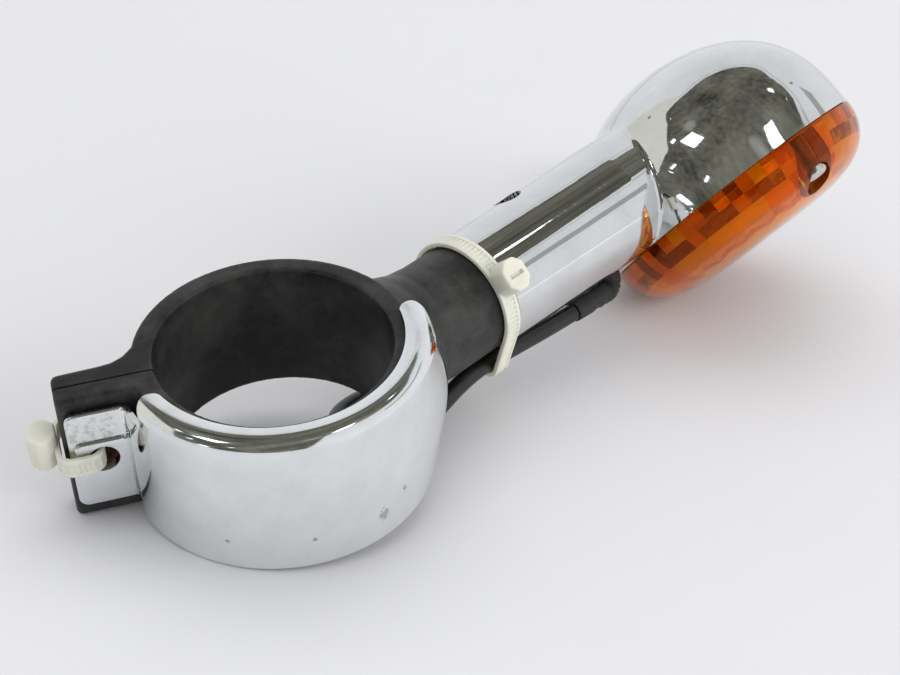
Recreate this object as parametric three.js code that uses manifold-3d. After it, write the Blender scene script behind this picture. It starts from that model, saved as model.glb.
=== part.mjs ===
// Motorcycle turn signal on a split rubber fork clamp, lying on a flat surface.
// Millimetres, +Z up. The pieces are drawn in the clamp's own frame (Z is the fork's axis,
// X runs along the arm to the lamp) and two turned groups lay the whole lamp on the surface.
import * as THREE from "three";
import { mergeVertices } from "three/addons/utils/BufferGeometryUtils.js";
import Module from "manifold-3d";

const wasm = await Module();
wasm.setup();

// Driving dimensions
const BORE_R = 25;            // fork tube radius
const COLLAR_R = 29.6;        // rubber collar, the half without chrome
const SEAT_R = 31.6;          // rubber collar under the chrome band
const COLLAR_H = 31.8;
const BAND_R = 33.2;          // chrome band, outer
const BAND_T = 1.2;
const BAND_TOP = 17.9;
const BAND_FROM = 166;        // degrees round the fork axis
const BAND_TO = 336;
const FLARE = 3.4;            // how far the band swells near the arm
const FLARE_Z = 0.5;
const FLARE_H = 16.4;
const FLARE_STEPS = [-11, -5, 1, 7, 12];  // heights where a flared wall is divided
const LIP_R = 27.2;           // inner edge of the band's rolled lip
const EAR_ANGLE = 151;        // where the collar is split
const EAR_END = 45.6;         // reach of the split ears from the fork axis
const HOLE_REACH = 38.1;
const HOLE_Z = 1;
const HOLE_R = 3.3;
const ARM_R = 13.8;           // rubber arm
const ARM_Z = -5.6;           // the arm's axis below the collar's middle
const ARM_END = 60.4;
const STEM_START = 60.9;
const STEM_R = 14.7;          // chrome stem at the arm
const STEM_FOOT_R = 15.3;     // chrome stem just before the bowl
const STEM_BORE_R = 12.7;
const BOWL_X = 148;
const BOWL_R = 37.6;
const BOWL_DEPTH = 37.8;
const WALL = 2;
const RIM_OFFSET = 15.3;      // lens rim in front of the stem's axis
const FACE_ANGLE = 34.4;      // how far the lens looks down from level, degrees
const LENS_DEPTH = 15.6;
const SCREW_REACH = 30.6;
const SCREW_ANGLE = 98;       // round the lens, from the stem's direction
const SCREW_SEAT = 9;         // the screw's seat inside the lens
const GASKET_R = [36.4, 34.4];
const STUD_R = 4;
const STUD_END = 78;
const BUSHING_R = 4.6;
const GAP = 0.3;              // clearance between touching pieces
const REST_ROLL = 3.6;        // how the lamp lies on its ring and its lens, degrees
const REST_PITCH = -10;
const REST_AT = [-68.5, 5.1, 22.3];  // the clamp's centre, from the middle of the lamp's footprint

// Materials
const finish = (name, color, roughness, metalness) =>
  Object.assign(new THREE.MeshStandardMaterial({ color, roughness, metalness }), { name });
const rubber = finish("rubber", 0x222325, 0.75, 0);
const chrome = finish("chrome", 0xd8dadd, 0.08, 1);
const steel = finish("steel", 0x9a9a98, 0.35, 1);
const rust = finish("rusted_steel", 0x6b4a35, 0.7, 0.6);
const brass = finish("brass", 0xb08d4a, 0.35, 1);
const amber = Object.assign(finish("amber_plastic", 0xf06a10, 0.12, 0), {
  transparent: true,
  opacity: 0.75,
});
const glass = Object.assign(finish("glass", 0xf4f4f4, 0.05, 0), { transparent: true, opacity: 0.4 });
const nylon = finish("nylon", 0xe9e6dc, 0.45, 0);
const vinyl = finish("vinyl", 0x141415, 0.4, 0);
const phenolic = finish("phenolic", 0x7a5533, 0.6, 0);
const seal = finish("seal_rubber", 0x2a2a2a, 0.8, 0);
const tungsten = finish("tungsten", 0x6f6f70, 0.4, 1);

// Solids: closed meshes with only shared positions, and cuts and joins between them
function plain(geometry) {
  const g = geometry.index ? geometry.toNonIndexed() : geometry.clone();
  g.deleteAttribute("normal");
  g.deleteAttribute("uv");
  return mergeVertices(g, 1e-4);
}

function toManifold(geometry) {
  const g = plain(geometry);
  const vertProperties = new Float32Array(g.attributes.position.array);
  const corners = g.index.array;
  const kept = [];
  for (let i = 0; i < corners.length; i += 3) {
    const [a, b, c] = [corners[i], corners[i + 1], corners[i + 2]];
    if (a !== b && b !== c && a !== c) kept.push(a, b, c);
  }
  return new wasm.Manifold(
    new wasm.Mesh({ numProp: 3, vertProperties, triVerts: new Uint32Array(kept) }),
  );
}

function fromManifold(solid) {
  const mesh = solid.getMesh();
  const g = new THREE.BufferGeometry();
  g.setAttribute("position", new THREE.BufferAttribute(new Float32Array(mesh.vertProperties), 3));
  g.setIndex(new THREE.BufferAttribute(new Uint32Array(mesh.triVerts), 1));
  g.computeVertexNormals();
  return g;
}

const combine = (how) => (first, ...others) =>
  fromManifold(others.reduce((all, g) => all[how](toManifold(g)), toManifold(first)));
const join = combine("add");
const cut = combine("subtract");
const common = combine("intersect");

// Basic shapes
const degrees = THREE.MathUtils.degToRad;
const move = (g, x, y, z) => g.translate(x, y, z);

// A turned solid round Z from [radius, z] points that close on the axis or on themselves
function turned(points, sides = 48) {
  const ends = [points[0], points[points.length - 1]];
  const onAxis = ends.every(([r]) => r === 0);
  const all = onAxis ? points : [...points, points[0]];
  const g = new THREE.LatheGeometry(all.map(([r, z]) => new THREE.Vector2(r, z)), sides);
  return g.rotateX(Math.PI / 2);
}

// The same, round X, from [radius, x] points
const turnedX = (points, sides) => turned(points, sides).rotateY(Math.PI / 2);

function rod(radius, from, to, sides = 24) {
  return turned([[0, from], [radius, from], [radius, to], [0, to]], sides);
}

const rodX = (radius, from, to, sides) => rod(radius, from, to, sides).rotateY(Math.PI / 2);

function pipe(outer, inner, from, to, sides = 32) {
  return turned([[inner, from], [outer, from], [outer, to], [inner, to]], sides);
}

const pipeX = (outer, inner, from, to, sides) => pipe(outer, inner, from, to, sides).rotateY(Math.PI / 2);

function plate(shape, thickness, bevel = 0, curveSegments = 3) {
  return new THREE.ExtrudeGeometry(shape, {
    depth: thickness - 2 * bevel,
    bevelEnabled: bevel > 0,
    bevelThickness: bevel,
    bevelSize: bevel,
    bevelOffset: -bevel,
    bevelSegments: 1,
    curveSegments,
  }).translate(0, 0, bevel);
}

function roundedRectangle(x0, y0, x1, y1, r) {
  const s = new THREE.Shape();
  s.moveTo(x0 + r, y0);
  s.lineTo(x1 - r, y0);
  s.absarc(x1 - r, y0 + r, r, -Math.PI / 2, 0);
  s.lineTo(x1, y1 - r);
  s.absarc(x1 - r, y1 - r, r, 0, Math.PI / 2);
  s.lineTo(x0 + r, y1);
  s.absarc(x0 + r, y1 - r, r, Math.PI / 2, Math.PI);
  s.lineTo(x0, y0 + r);
  s.absarc(x0 + r, y0 + r, r, Math.PI, 1.5 * Math.PI);
  return s;
}

// A wedge of space between two angles round Z
function wedge(from, to, reach, low, high) {
  const s = new THREE.Shape();
  s.moveTo(0, 0);
  const steps = Math.ceil((to - from) / 10);
  for (let i = 0; i <= steps; i++) {
    const a = degrees(from + ((to - from) * i) / steps);
    s.lineTo(reach * Math.cos(a), reach * Math.sin(a));
  }
  return move(plate(s, high - low), 0, 0, low);
}

// A solid through oval sections along X, each [x, centreZ, halfWidth, halfHeight]
function loftX(sections, sides = 48) {
  const positions = [];
  const indices = [];
  for (const [x, z, width, height] of sections) {
    for (let i = 0; i < sides; i++) {
      const a = (2 * Math.PI * i) / sides;
      positions.push(x, width * Math.cos(a), z + height * Math.sin(a));
    }
  }
  for (let s = 0; s + 1 < sections.length; s++) {
    for (let i = 0; i < sides; i++) {
      const [a, b] = [s * sides + i, s * sides + ((i + 1) % sides)];
      indices.push(a, b, b + sides, a, b + sides, a + sides);
    }
  }
  const last = (sections.length - 1) * sides;
  for (let i = 1; i + 1 < sides; i++) {
    indices.push(0, i + 1, i);
    indices.push(last, last + i, last + i + 1);
  }
  const g = new THREE.BufferGeometry();
  g.setAttribute("position", new THREE.Float32BufferAttribute(positions, 3));
  g.setIndex(indices);
  g.computeVertexNormals();
  return g;
}

// A round tube along points, bent smoothly
function tube(points, radius, sides = 8, steps = 24) {
  const spots = points.map((p) => new THREE.Vector3(...p));
  const curve = new THREE.CatmullRomCurve3(spots, false, "centripetal");
  const section = new THREE.Shape();
  for (let i = 0; i < sides; i++) {
    const a = (2 * Math.PI * i) / sides;
    section[i ? "lineTo" : "moveTo"](radius * Math.cos(a), radius * Math.sin(a));
  }
  return new THREE.ExtrudeGeometry(section, { steps, extrudePath: curve, curveSegments: 1 });
}

// Groups: the resting pose, the clamp frame, the stem's axis, the ears and the lens
const root = new THREE.Group();
const rest = new THREE.Group();
const lamp = new THREE.Group();
const stemAxis = new THREE.Group();
const ears = new THREE.Group();
const lensAxis = new THREE.Group();
root.add(rest);
rest.add(lamp);
lamp.add(stemAxis, ears);
stemAxis.add(lensAxis);
rest.position.set(...REST_AT);
rest.rotation.set(degrees(REST_ROLL), degrees(REST_PITCH), 0, "YXZ");
stemAxis.position.set(0, 0, ARM_Z);
ears.rotation.set(0, 0, degrees(EAR_ANGLE));
// in the lens frame, Z looks out of the lens and X still runs along the stem
lensAxis.rotation.set(degrees(90 + FACE_ANGLE), 0, 0);
lensAxis.position.set(
  BOWL_X,
  -RIM_OFFSET * Math.cos(degrees(FACE_ANGLE)),
  -RIM_OFFSET * Math.sin(degrees(FACE_ANGLE)),
);

function add(group, name, geometry, material) {
  const mesh = new THREE.Mesh(plain(geometry), material);
  mesh.geometry.computeVertexNormals();
  mesh.name = name;
  group.add(mesh);
}

// the lens frame seen from the stem's frame, for cuts that cross between the two
lensAxis.updateMatrix();
const inStemFrame = (g) => g.applyMatrix4(lensAxis.matrix);

// Rubber mount: collar, arm and split ears in one moulding
function earBlock(side) {
  const s = new THREE.Shape();
  if (side === "rear") {
    s.moveTo(26, 0.3);
    s.lineTo(27, -12.4);
    s.quadraticCurveTo(30.5, -4.6, 36, -4.2);
    s.lineTo(44, -3.9);
    s.quadraticCurveTo(EAR_END, -3.9, EAR_END, -2.2);
    s.lineTo(EAR_END, 0.3);
  } else {
    s.moveTo(26, 0.7);
    s.lineTo(EAR_END, 0.7);
    s.lineTo(EAR_END, 3.8);
    s.quadraticCurveTo(EAR_END, 5.2, 44, 5.2);
    s.lineTo(30, 5.2);
    s.lineTo(26, 9);
  }
  return move(plate(s, COLLAR_H, 0.5, 5), 0, 0, -COLLAR_H / 2);
}

const throughEars = (solid) => solid.rotateX(-Math.PI / 2).translate(HOLE_REACH, 0, HOLE_Z);
const boltHole = (radius) => throughEars(rod(radius, -12, 14, 24));

// The band and the rubber under it swell a little over the arm's root, most at half height
function flared(ring) {
  const spot = ring.attributes.position;
  for (let i = 0; i < spot.count; i++) {
    const [x, y, z] = [spot.getX(i), spot.getY(i), spot.getZ(i)];
    const turn = THREE.MathUtils.radToDeg(Math.atan2(y, x));
    const along = THREE.MathUtils.smoothstep(turn, -75, -30) * (turn < 90 ? 1 : 0);
    const up = Math.max(0, Math.cos((Math.PI / 2) * ((z - FLARE_Z) / FLARE_H)));
    const grow = 1 + (FLARE * along * up) / BAND_R;
    spot.setXYZ(i, x * grow, y * grow, z);
  }
  return ring;
}

const flareWall = (r) => FLARE_STEPS.map((z) => [r, z]);

function rubberMount() {
  const h = COLLAR_H / 2;
  const collar = turned([
    [BORE_R - 2, -h], [COLLAR_R - 0.8, -h], [COLLAR_R, -h + 0.8],
    [COLLAR_R, h - 0.8], [COLLAR_R - 0.8, h], [BORE_R - 2, h],
  ], 48);
  const seatRing = flared(turned([
    [BORE_R - 4, -h + 0.2], [SEAT_R, -h + 0.2], ...flareWall(SEAT_R),
    [SEAT_R, h - 2.6], [BORE_R - 4, h - 2.6],
  ], 56));
  const seat = common(seatRing, wedge(BAND_FROM + 6, BAND_TO + 4, 50, -20, 20));
  const arm = loftX([
    [18, -0.6, 15, 14.4], [26, -0.8, 19.5, 15], [29, -1.2, 18.8, 14.9], [32, -2.2, 16.6, 14.7],
    [36, -3.8, 14.9, 14.3], [41, -5.1, 14.1, 13.95], [47, ARM_Z, ARM_R, ARM_R],
    [ARM_END - 0.6, ARM_Z, ARM_R, ARM_R], [ARM_END, ARM_Z, ARM_R - 0.6, ARM_R - 0.6],
  ], 28);
  const turn = degrees(EAR_ANGLE);
  const rear = earBlock("rear").rotateZ(turn);
  const front = earBlock("front").rotateZ(turn);
  const slit = move(new THREE.BoxGeometry(60, 0.4, 60), 45, 0.5, 0).rotateZ(turn);
  const room = flared(turned([
    [SEAT_R + 0.1, -25], [46, -25], [46, 25], [SEAT_R + 0.1, 25], ...flareWall(SEAT_R + 0.1).reverse(),
  ], 56));
  const bandRing = common(room, wedge(BAND_FROM, BAND_TO + 1, 60, -30, 30));
  const bandRoom = cut(bandRing, armRoom(-GAP));
  const whole = cut(join(collar, seat, arm, rear, front), bandRoom);
  return cut(
    whole,
    rod(BORE_R, -40, 40, 48),
    slit,
    boltHole(BUSHING_R + GAP).rotateZ(turn),
    studShape(GAP).translate(0, 0, ARM_Z),
  );
}

// Steel stud moulded into the arm, with the washer, lock washer and nut that hold the lamp
function studShape(extra) {
  return turnedX([
    [0, 38 - extra], [9 + extra, 38 - extra], [9 + extra, 40.5 + extra],
    [STUD_R + extra, 40.5 + extra], [STUD_R + extra, STUD_END - 0.8],
    [STUD_R - 0.8 + extra, STUD_END], [0, STUD_END],
  ], 20);
}

function hexNut(acrossFlats, bore, from, to) {
  const hex = rodX(acrossFlats / Math.sqrt(3), from, to, 6);
  const chamfer = acrossFlats * 0.05;
  const round = turnedX([
    [0, from], [acrossFlats / 2, from], [acrossFlats / 2 + chamfer * 1.6, from + chamfer],
    [acrossFlats / 2 + chamfer * 1.6, to - chamfer], [acrossFlats / 2, to], [0, to],
  ], 36);
  return cut(common(hex, round), rodX(bore, from - 1, to + 1, 20));
}

function lockWasher(outer, inner, from, to) {
  const split = move(new THREE.BoxGeometry(4, 4, 0.8), (from + to) / 2, (outer + inner) / 2, 0);
  return cut(pipeX(outer, inner, from, to, 24), split.rotateX(0.3));
}

// Bushings in the ears
const bushing = (from, to) => throughEars(pipe(BUSHING_R, HOLE_R - 0.1, from, to, 18));

// The room that the band's wall leaves round the arm
const armRoom = (extra) => rodX(ARM_R + 3.2 + extra, 0, 60, 48).translate(0, 0, ARM_Z);

// Chrome band: rolled sheet with an inward lip, and the front ear plate
function clampBand() {
  const low = -16.4;
  const bend = 3;
  const section = [[BAND_R - BAND_T, low], [BAND_R, low], ...flareWall(BAND_R)];
  for (let i = 0; i <= 4; i++) {
    const a = (Math.PI / 2) * (i / 4);
    section.push([BAND_R - bend + bend * Math.cos(a), BAND_TOP - bend + bend * Math.sin(a)]);
  }
  section.push([LIP_R + 0.4, BAND_TOP], [LIP_R, BAND_TOP - 0.5], [LIP_R + 0.3, BAND_TOP - BAND_T]);
  for (let i = 4; i >= 0; i--) {
    const a = (Math.PI / 2) * (i / 4);
    const r = bend - BAND_T;
    section.push([BAND_R - bend + r * Math.cos(a), BAND_TOP - bend + r * Math.sin(a)]);
  }
  section.push(...flareWall(BAND_R - BAND_T).reverse());
  const ring = flared(turned(section, 56));
  const span = common(ring, wedge(BAND_FROM, BAND_TO, 60, -30, 30));
  // the lip stops a little before the ear, and the wall clears the rubber arm
  const lipEnd = wedge(BAND_FROM - 10, BAND_FROM + 5, 60, 13.4, 30);
  const band = cut(span, lipEnd, armRoom(0));

  const turn = degrees(EAR_ANGLE);
  const flat = plate(roundedRectangle(31.4, -11.8, 44.6, 13, 2.2), 1.4, 0.3);
  const pad = move(plate(roundedRectangle(32.6, -10.4, 43.6, 5.6, 1.5), 1.2, 0.3), 0, 0, -0.7);
  const upright = (g) => g.rotateX(Math.PI / 2).translate(0, 6.9, 0);
  const flange = move(new THREE.BoxGeometry(1.4, 3.6, 24), 31.7, 7.4, 0.6);
  const ear = join(upright(flat), upright(pad), flange).rotateZ(turn);
  return cut(join(band, ear), boltHole(HOLE_R).rotateZ(turn));
}

// Bowl outline: how wide it is at a share of its depth
function bowlOutline(radius, depth, steps, radiusPower, depthPower) {
  const points = [];
  for (let i = 0; i <= steps; i++) {
    const a = (Math.PI / 2) * (i / steps);
    const r = i === steps ? 0 : radius * Math.cos(a) ** radiusPower;
    points.push([r, depth * Math.sin(a) ** depthPower]);
  }
  return points;
}

// Chrome housing: hollow stem and bowl in one casting
const screwPlaces = [0, 180].map((turn) => {
  const a = degrees(SCREW_ANGLE + turn);
  return [SCREW_REACH * Math.cos(a), SCREW_REACH * Math.sin(a)];
});

function lampHousing() {
  const bowl = (r, d, steps) => inStemFrame(turned(
    bowlOutline(r, d, steps, 1.03, 0.72).map(([x, z]) => [x, -z]).concat([[0, 0]]).reverse(), 44,
  ));
  const stem = loftX([
    [STEM_START, 0, STEM_R - 0.6, STEM_R - 0.6], [STEM_START + 0.6, 0, STEM_R, STEM_R],
    [96, 0, STEM_FOOT_R, STEM_FOOT_R], [104, 0, STEM_FOOT_R + 0.3, STEM_FOOT_R + 0.3],
    [108, 0, STEM_FOOT_R + 1, STEM_FOOT_R + 1], [112, 0, STEM_FOOT_R + 2, STEM_FOOT_R + 2],
    [126, 0, STEM_FOOT_R + 2, STEM_FOOT_R + 2],
  ], 32);
  const inFront = inStemFrame(rod(70, 0, 40, 24));
  const rearWall = STEM_START + 3;
  const outer = cut(join(bowl(BOWL_R, BOWL_DEPTH, 8), stem), inFront);
  const inner = bowl(BOWL_R - WALL, BOWL_DEPTH - WALL, 5);
  const mouth = inStemFrame(rod(BOWL_R - WALL, -1, 5, 44));
  const bore = rodX(STEM_BORE_R, rearWall, 130, 32);
  const shell = cut(outer, inner, mouth, bore);
  const bosses = screwPlaces.map(([x, y]) =>
    common(
      inStemFrame(move(rod(4.4, -17, -0.4, 14), x, y, 0)),
      bowl(BOWL_R - 0.5, BOWL_DEPTH - 0.5, 5),
    ));
  const pilots = screwPlaces.map(([x, y]) => inStemFrame(move(rod(2.1, -14, 5, 10), x, y, 0)));
  const groove = inStemFrame(pipe(GASKET_R[0] + GAP, GASKET_R[1] - GAP, -0.9, 3, 44));
  const pinHole = rod(4, 5, 25, 24).rotateX(degrees(-38)).translate(82, 0, 0);
  const leadHole = rod(LEAD_R + 1.3, 8, 25, 20).rotateX(LEAD_TURN).translate(LEAD_HOLE_X, 0, 0);
  const studHole = rodX(STUD_R + GAP, STEM_START - 2, rearWall + 2, 32);
  return cut(join(shell, ...bosses), ...pilots, groove, pinHole, leadHole, studHole);
}

// Lens: domed amber shell with two deep screw wells
function lens() {
  const outer = bowlOutline(BOWL_R, LENS_DEPTH, 8, 0.46, 0.92);
  const inner = bowlOutline(BOWL_R - 2.2, LENS_DEPTH - 2.2, 5, 0.46, 0.92);
  const shell = turned([...inner.slice().reverse(), ...outer], 44).translate(0, 0, GAP);
  const blank = turned([[0, 0], ...outer], 44).translate(0, 0, GAP);
  const wells = screwPlaces.map(([x, y]) => common(move(rod(6, GAP + 0.3, 20, 18), x, y, 0), blank));
  const heads = screwPlaces.map(([x, y]) => move(rod(4.1, SCREW_SEAT, 30, 18), x, y, 0));
  const shanks = screwPlaces.map(([x, y]) => move(rod(2.3, -2, 30, 12), x, y, 0));
  return cut(join(shell, ...wells), ...heads, ...shanks);
}

function lensScrew() {
  const head = turned([
    [0, SCREW_SEAT + GAP], [3.6, SCREW_SEAT + GAP], [3.6, SCREW_SEAT + 1.5], [3, SCREW_SEAT + 2.4],
    [1.6, SCREW_SEAT + 2.8], [0, SCREW_SEAT + 2.8],
  ], 18);
  const shank = rod(1.8, -12, SCREW_SEAT + 1, 10);
  const slots = [0, Math.PI / 2].map((turn) =>
    new THREE.BoxGeometry(0.8, 3.6, 2.4).rotateZ(turn).translate(0, 0, SCREW_SEAT + 3.1));
  return cut(join(head, shank), ...slots);
}

// Bulb holder inside the stem
const SOCKET_FROM = 98;
const SOCKET_TO = 122;
const BULB_BASE_FROM = 111;

function socketShell() {
  const tubeWall = pipeX(8.9, 8.1, SOCKET_FROM, SOCKET_TO, 28);
  const back = pipeX(8.9, 3, SOCKET_FROM, SOCKET_FROM + 1, 28);
  // each bayonet slot: a straight way in, then room to turn
  const slots = [0, 180].flatMap((side) => {
    const sweep = wedge(-12, 30, 20, 100, 130).rotateY(Math.PI / 2);
    return [
      move(new THREE.BoxGeometry(12, 4, 3), 120, 8.5, 0).rotateX(degrees(side + 20)),
      common(pipeX(11, 6, 113, 118.4, 28), sweep.rotateX(degrees(side + 90))),
    ];
  });
  return cut(join(tubeWall, back), ...slots);
}

function coilSpring() {
  const points = [];
  const turns = 4;
  const perTurn = 10;
  for (let i = 0; i <= turns * perTurn; i++) {
    const a = (2 * Math.PI * i) / perTurn;
    points.push([SOCKET_FROM + 1.9 + (5.2 * i) / (turns * perTurn), 4.6 * Math.cos(a), 4.6 * Math.sin(a)]);
  }
  return tube(points, 0.45, 6, turns * perTurn);
}

function contactRivet() {
  const [tail, step, face] = [SOCKET_FROM + 7.8, SOCKET_FROM + 11.9, SOCKET_FROM + 12.6];
  return turnedX([[0, tail], [1.2, tail], [1.2, step], [2.2, step], [2.2, face], [0, face]], 16);
}

const feedWire = () =>
  tube([
    leadAt(101.4, 11.2, -124), leadAt(96.5, 8.5, -124), leadAt(95, 3.5, -124), [97.5, 0, 0], [103.9, 0, 0],
  ], 0.8, 6, 20);

const earthWire = () =>
  tube([
    leadAt(102.4, 11.2, -112), leadAt(99.5, 11.2, -106), leadAt(96.4, 9.6, -100), leadAt(96.4, 7, -96),
  ], 0.8, 6, 12);

function bulbBase() {
  const shell = turnedX([
    [0, BULB_BASE_FROM], [1.8, BULB_BASE_FROM], [2.4, BULB_BASE_FROM + 0.8], [5.2, BULB_BASE_FROM + 1],
    [7.4, BULB_BASE_FROM + 2.2], [7.4, 127], [5.6, 127], [5.6, 121], [0, 121],
  ], 24);
  const pins = [0, 180].map((side) =>
    rod(0.9, 6.6, 8.4, 12).rotateX(degrees(side - 90)).translate(115.6, 0, 0));
  return join(shell, ...pins);
}

function bulbGlass() {
  const outside = [[0, 122.2], [5.2, 122.2], [5.2, 127.6], [6.6, 128.2], [9.4, 132], [12, 138], [12.6, 144],
    [11.6, 151], [8.6, 156.6], [4.4, 159.6], [0, 160.6]];
  const inside = [[0, 121], [4.5, 121], [4.5, 127.8], [5.9, 128.6], [8.7, 132.3], [11.2, 138], [11.8, 144],
    [10.9, 150.8], [8.1, 156], [4.1, 158.8], [0, 159.8]];
  return cut(turnedX(outside, 20), turnedX(inside, 20));
}

function filamentMount() {
  const bead = turnedX([[0, 121.4], [3, 121.4], [3, 124], [1.4, 134], [0, 134]], 20);
  const wires = [-1, 1].map((side) =>
    tube([[132, side * 0.6, 0], [136, side * 2, 0], [141, side * 4, 0]], 0.35, 6, 6));
  return join(bead, ...wires);
}

const filament = () =>
  tube([[141.8, -4, 0], [143, -2, 0], [143.4, 0, 0], [143, 2, 0], [141.8, 4, 0]], 0.4, 6, 12);

// Lead: a sleeve from a boot under the stem, back along the arm, then to a coil on the surface
const LEAD_R = 2.25;
const LEAD_TURN = degrees(-120 - 90);
const LEAD_HOLE_X = 102;
const TIE_LEAD_REACH = ARM_R + LEAD_R + 0.4;
const TIE_HEAD_ANGLE = 136;
const leadAt = (x, reach, angle = -120) => [
  x, reach * Math.cos(degrees(angle)), reach * Math.sin(degrees(angle)),
];

// from the boot under the stem, through the tie, behind the clamp and back behind the lamp
const LEAD_ROUTE = [
  [20.7, -2.9, 15.25], [14, -2.7, 14.4], [6, -2.45, 13.6], [-2, -2.15, 12.9], [-7.8, -1.9, 12.35],
  [-15.7, -1.9, 10.8], [-22, -2.2, 8.5], [-29, -2.6, 5], [-37.2, -3.2, 2.9], [-42, -1.9, 2.5],
  [-45.5, 1.6, 2.5], [-46.8, 6.4, 2.5], [-45.5, 11.2, 2.5], [-42, 14.7, 2.5], [-37.2, 16, 2.5],
  [-28.5, 16.4, 2.5], [-18, 17.2, 2.5], [2, 21, 2.5],
  [30, 26.5, 2.5], [58, 29.6, 2.5], [84, 30.2, 2.5], [101.2, 30.25, 2.5],
];
const COIL_AT = [115.5, 50];
const COIL_R = 19.75;
const COIL_H = 9.6;
const TAIL = [[139.6, 46.2, 6.9], [141.6, 48.2, 6.4], [143.8, 50.4, 5.6]];

function leadCoil() {
  const r = LEAD_R + 0.15;
  const ring = pipe(COIL_R + r, COIL_R - r, 0.2, COIL_H, 40);
  return move(ring, ...COIL_AT, 0);
}

// The two wires at the lead's end, each with its bullet terminal, side by side
const WIRE_R = 0.9;
const wireSide = (side, along, z) => [
  144 + 0.707 * along - 0.707 * side, 50.6 + 0.707 * along + 0.707 * side, z,
];

const wire = (side) =>
  tube([
    wireSide(side * 1.1, 0, 5.5), wireSide(side * 1.5, 5, 3.6), wireSide(side * 2.8, 13, 2.6),
  ], WIRE_R, 8, 8);

function bullet(side) {
  const body = turnedX([
    [0, 0], [1.8, 0], [2.2, 0.6], [2.2, 8], [1.5, 8.4],
    [1.5, 10], [2, 10.6], [2, 13.4], [1.2, 14.6], [0, 14.6],
  ], 10);
  return body.rotateZ(degrees(45)).translate(...wireSide(side * 2.8, 13.3, 2.6));
}

function leadBoot() {
  const x = LEAD_HOLE_X;
  const bend = [
    leadAt(x, 12.6), leadAt(x, 16.6), leadAt(x - 1.6, 18.8), leadAt(x - 5, 19.1), leadAt(x - 15, 18.8),
  ];
  return tube(bend, LEAD_R + 0.8, 10, 14);
}

// Cable ties: a flat strap in a closed loop with its square head
function hullOfCircles([x1, y1], r1, [x2, y2], r2, steps) {
  const points = [];
  for (let i = 0; i < steps; i++) {
    const a = (2 * Math.PI * i) / steps;
    const [dx, dy] = [Math.cos(a), Math.sin(a)];
    const firstIsOuter = x1 * dx + y1 * dy + r1 > x2 * dx + y2 * dy + r2;
    const [x, y, r] = firstIsOuter ? [x1, y1, r1] : [x2, y2, r2];
    points.push(new THREE.Vector2(x + r * dx, y + r * dy));
  }
  return points;
}

const STRAP_T = 1.2;
const STRAP_W = 4.4;
const acrossX = new THREE.Matrix4().makeBasis(
  new THREE.Vector3(0, 1, 0), new THREE.Vector3(0, 0, 1), new THREE.Vector3(1, 0, 0),
);

function stemTie() {
  const lead = leadAt(0, TIE_LEAD_REACH).slice(1);
  const inside = [[0, 0], ARM_R + 0.35, lead, LEAD_R + 0.35];
  const outside = [[0, 0], inside[1] + STRAP_T, lead, inside[3] + STRAP_T];
  const s = new THREE.Shape(hullOfCircles(...outside, 40));
  s.holes.push(new THREE.Path(hullOfCircles(...inside, 40)));
  const strap = plate(s, STRAP_W).applyMatrix4(acrossX).translate(ARM_END - 0.1 - STRAP_W, 0, 0);
  const block = plate(roundedRectangle(-3.2, -3.8, 3.2, 3.8, 0.8), 5.6, 0.4).rotateX(-Math.PI / 2);
  const head = move(block, ARM_END - 1.4, ARM_R + 1.3, 0).rotateX(degrees(TIE_HEAD_ANGLE));
  return join(strap, head);
}

function earTie() {
  const [x0, x1, y0, y1] = [HOLE_REACH + STRAP_T / 2, EAR_END + 0.6, -4.7, 7.9];
  const loop = roundedRectangle(x0 - STRAP_T, y0 - STRAP_T, x1 + STRAP_T, y1 + STRAP_T, 3.4);
  loop.holes.push(new THREE.Path(roundedRectangle(x0, y0, x1, y1, 2.2).getPoints(3)));
  const strap = move(plate(loop, STRAP_W), 0, 0, HOLE_Z - STRAP_W / 2);
  const head = plate(roundedRectangle(x1 + 0.4, -2.4, x1 + 6.4, 5.2, 0.8), 7.8, 0.4);
  return join(strap, move(head, 0, 0, HOLE_Z - 2.4));
}

// The assembly
add(lamp, "rubber_mount", rubberMount(), rubber);
add(lamp, "clamp_band", clampBand(), chrome);
add(ears, "front_ear_bushing", bushing(0.9, 5.1), rust);
add(ears, "rear_ear_bushing", bushing(-4.1, 0.1), rust);
add(ears, "ear_tie", earTie(), nylon);
add(stemAxis, "mount_stud", studShape(0), steel);
add(stemAxis, "stud_washer", pipeX(8, 4.3, STEM_START + 3.3, STEM_START + 4.9, 24), steel);
add(stemAxis, "stud_lock_washer", lockWasher(6.9, 4.3, STEM_START + 5.2, STEM_START + 7.2), steel);
add(stemAxis, "stud_nut", hexNut(13, 4.3, STEM_START + 7.5, STEM_START + 13.9), steel);
add(stemAxis, "lamp_housing", lampHousing(), chrome);
add(stemAxis, "stem_tie", stemTie(), nylon);
add(stemAxis, "lead_boot", leadBoot(), seal);
add(root, "lead_run", tube(LEAD_ROUTE, LEAD_R, 8, 48), vinyl);
add(root, "lead_coil", leadCoil(), vinyl);
add(root, "lead_tail", tube(TAIL, LEAD_R, 8, 3), vinyl);
add(root, "signal_wire", wire(1), vinyl);
add(root, "ground_wire", wire(-1), vinyl);
add(root, "signal_bullet", bullet(1), brass);
add(root, "ground_bullet", bullet(-1), brass);
add(stemAxis, "socket_mount", pipeX(STEM_BORE_R - GAP, 9.2, SOCKET_FROM + 9, SOCKET_FROM + 16, 28), seal);
add(stemAxis, "socket_shell", socketShell(), steel);
add(stemAxis, "contact_spring", coilSpring(), steel);
add(stemAxis, "contact_disc", pipeX(7.6, 1.5, SOCKET_FROM + 9.6, SOCKET_FROM + 11.6, 24), phenolic);
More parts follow.
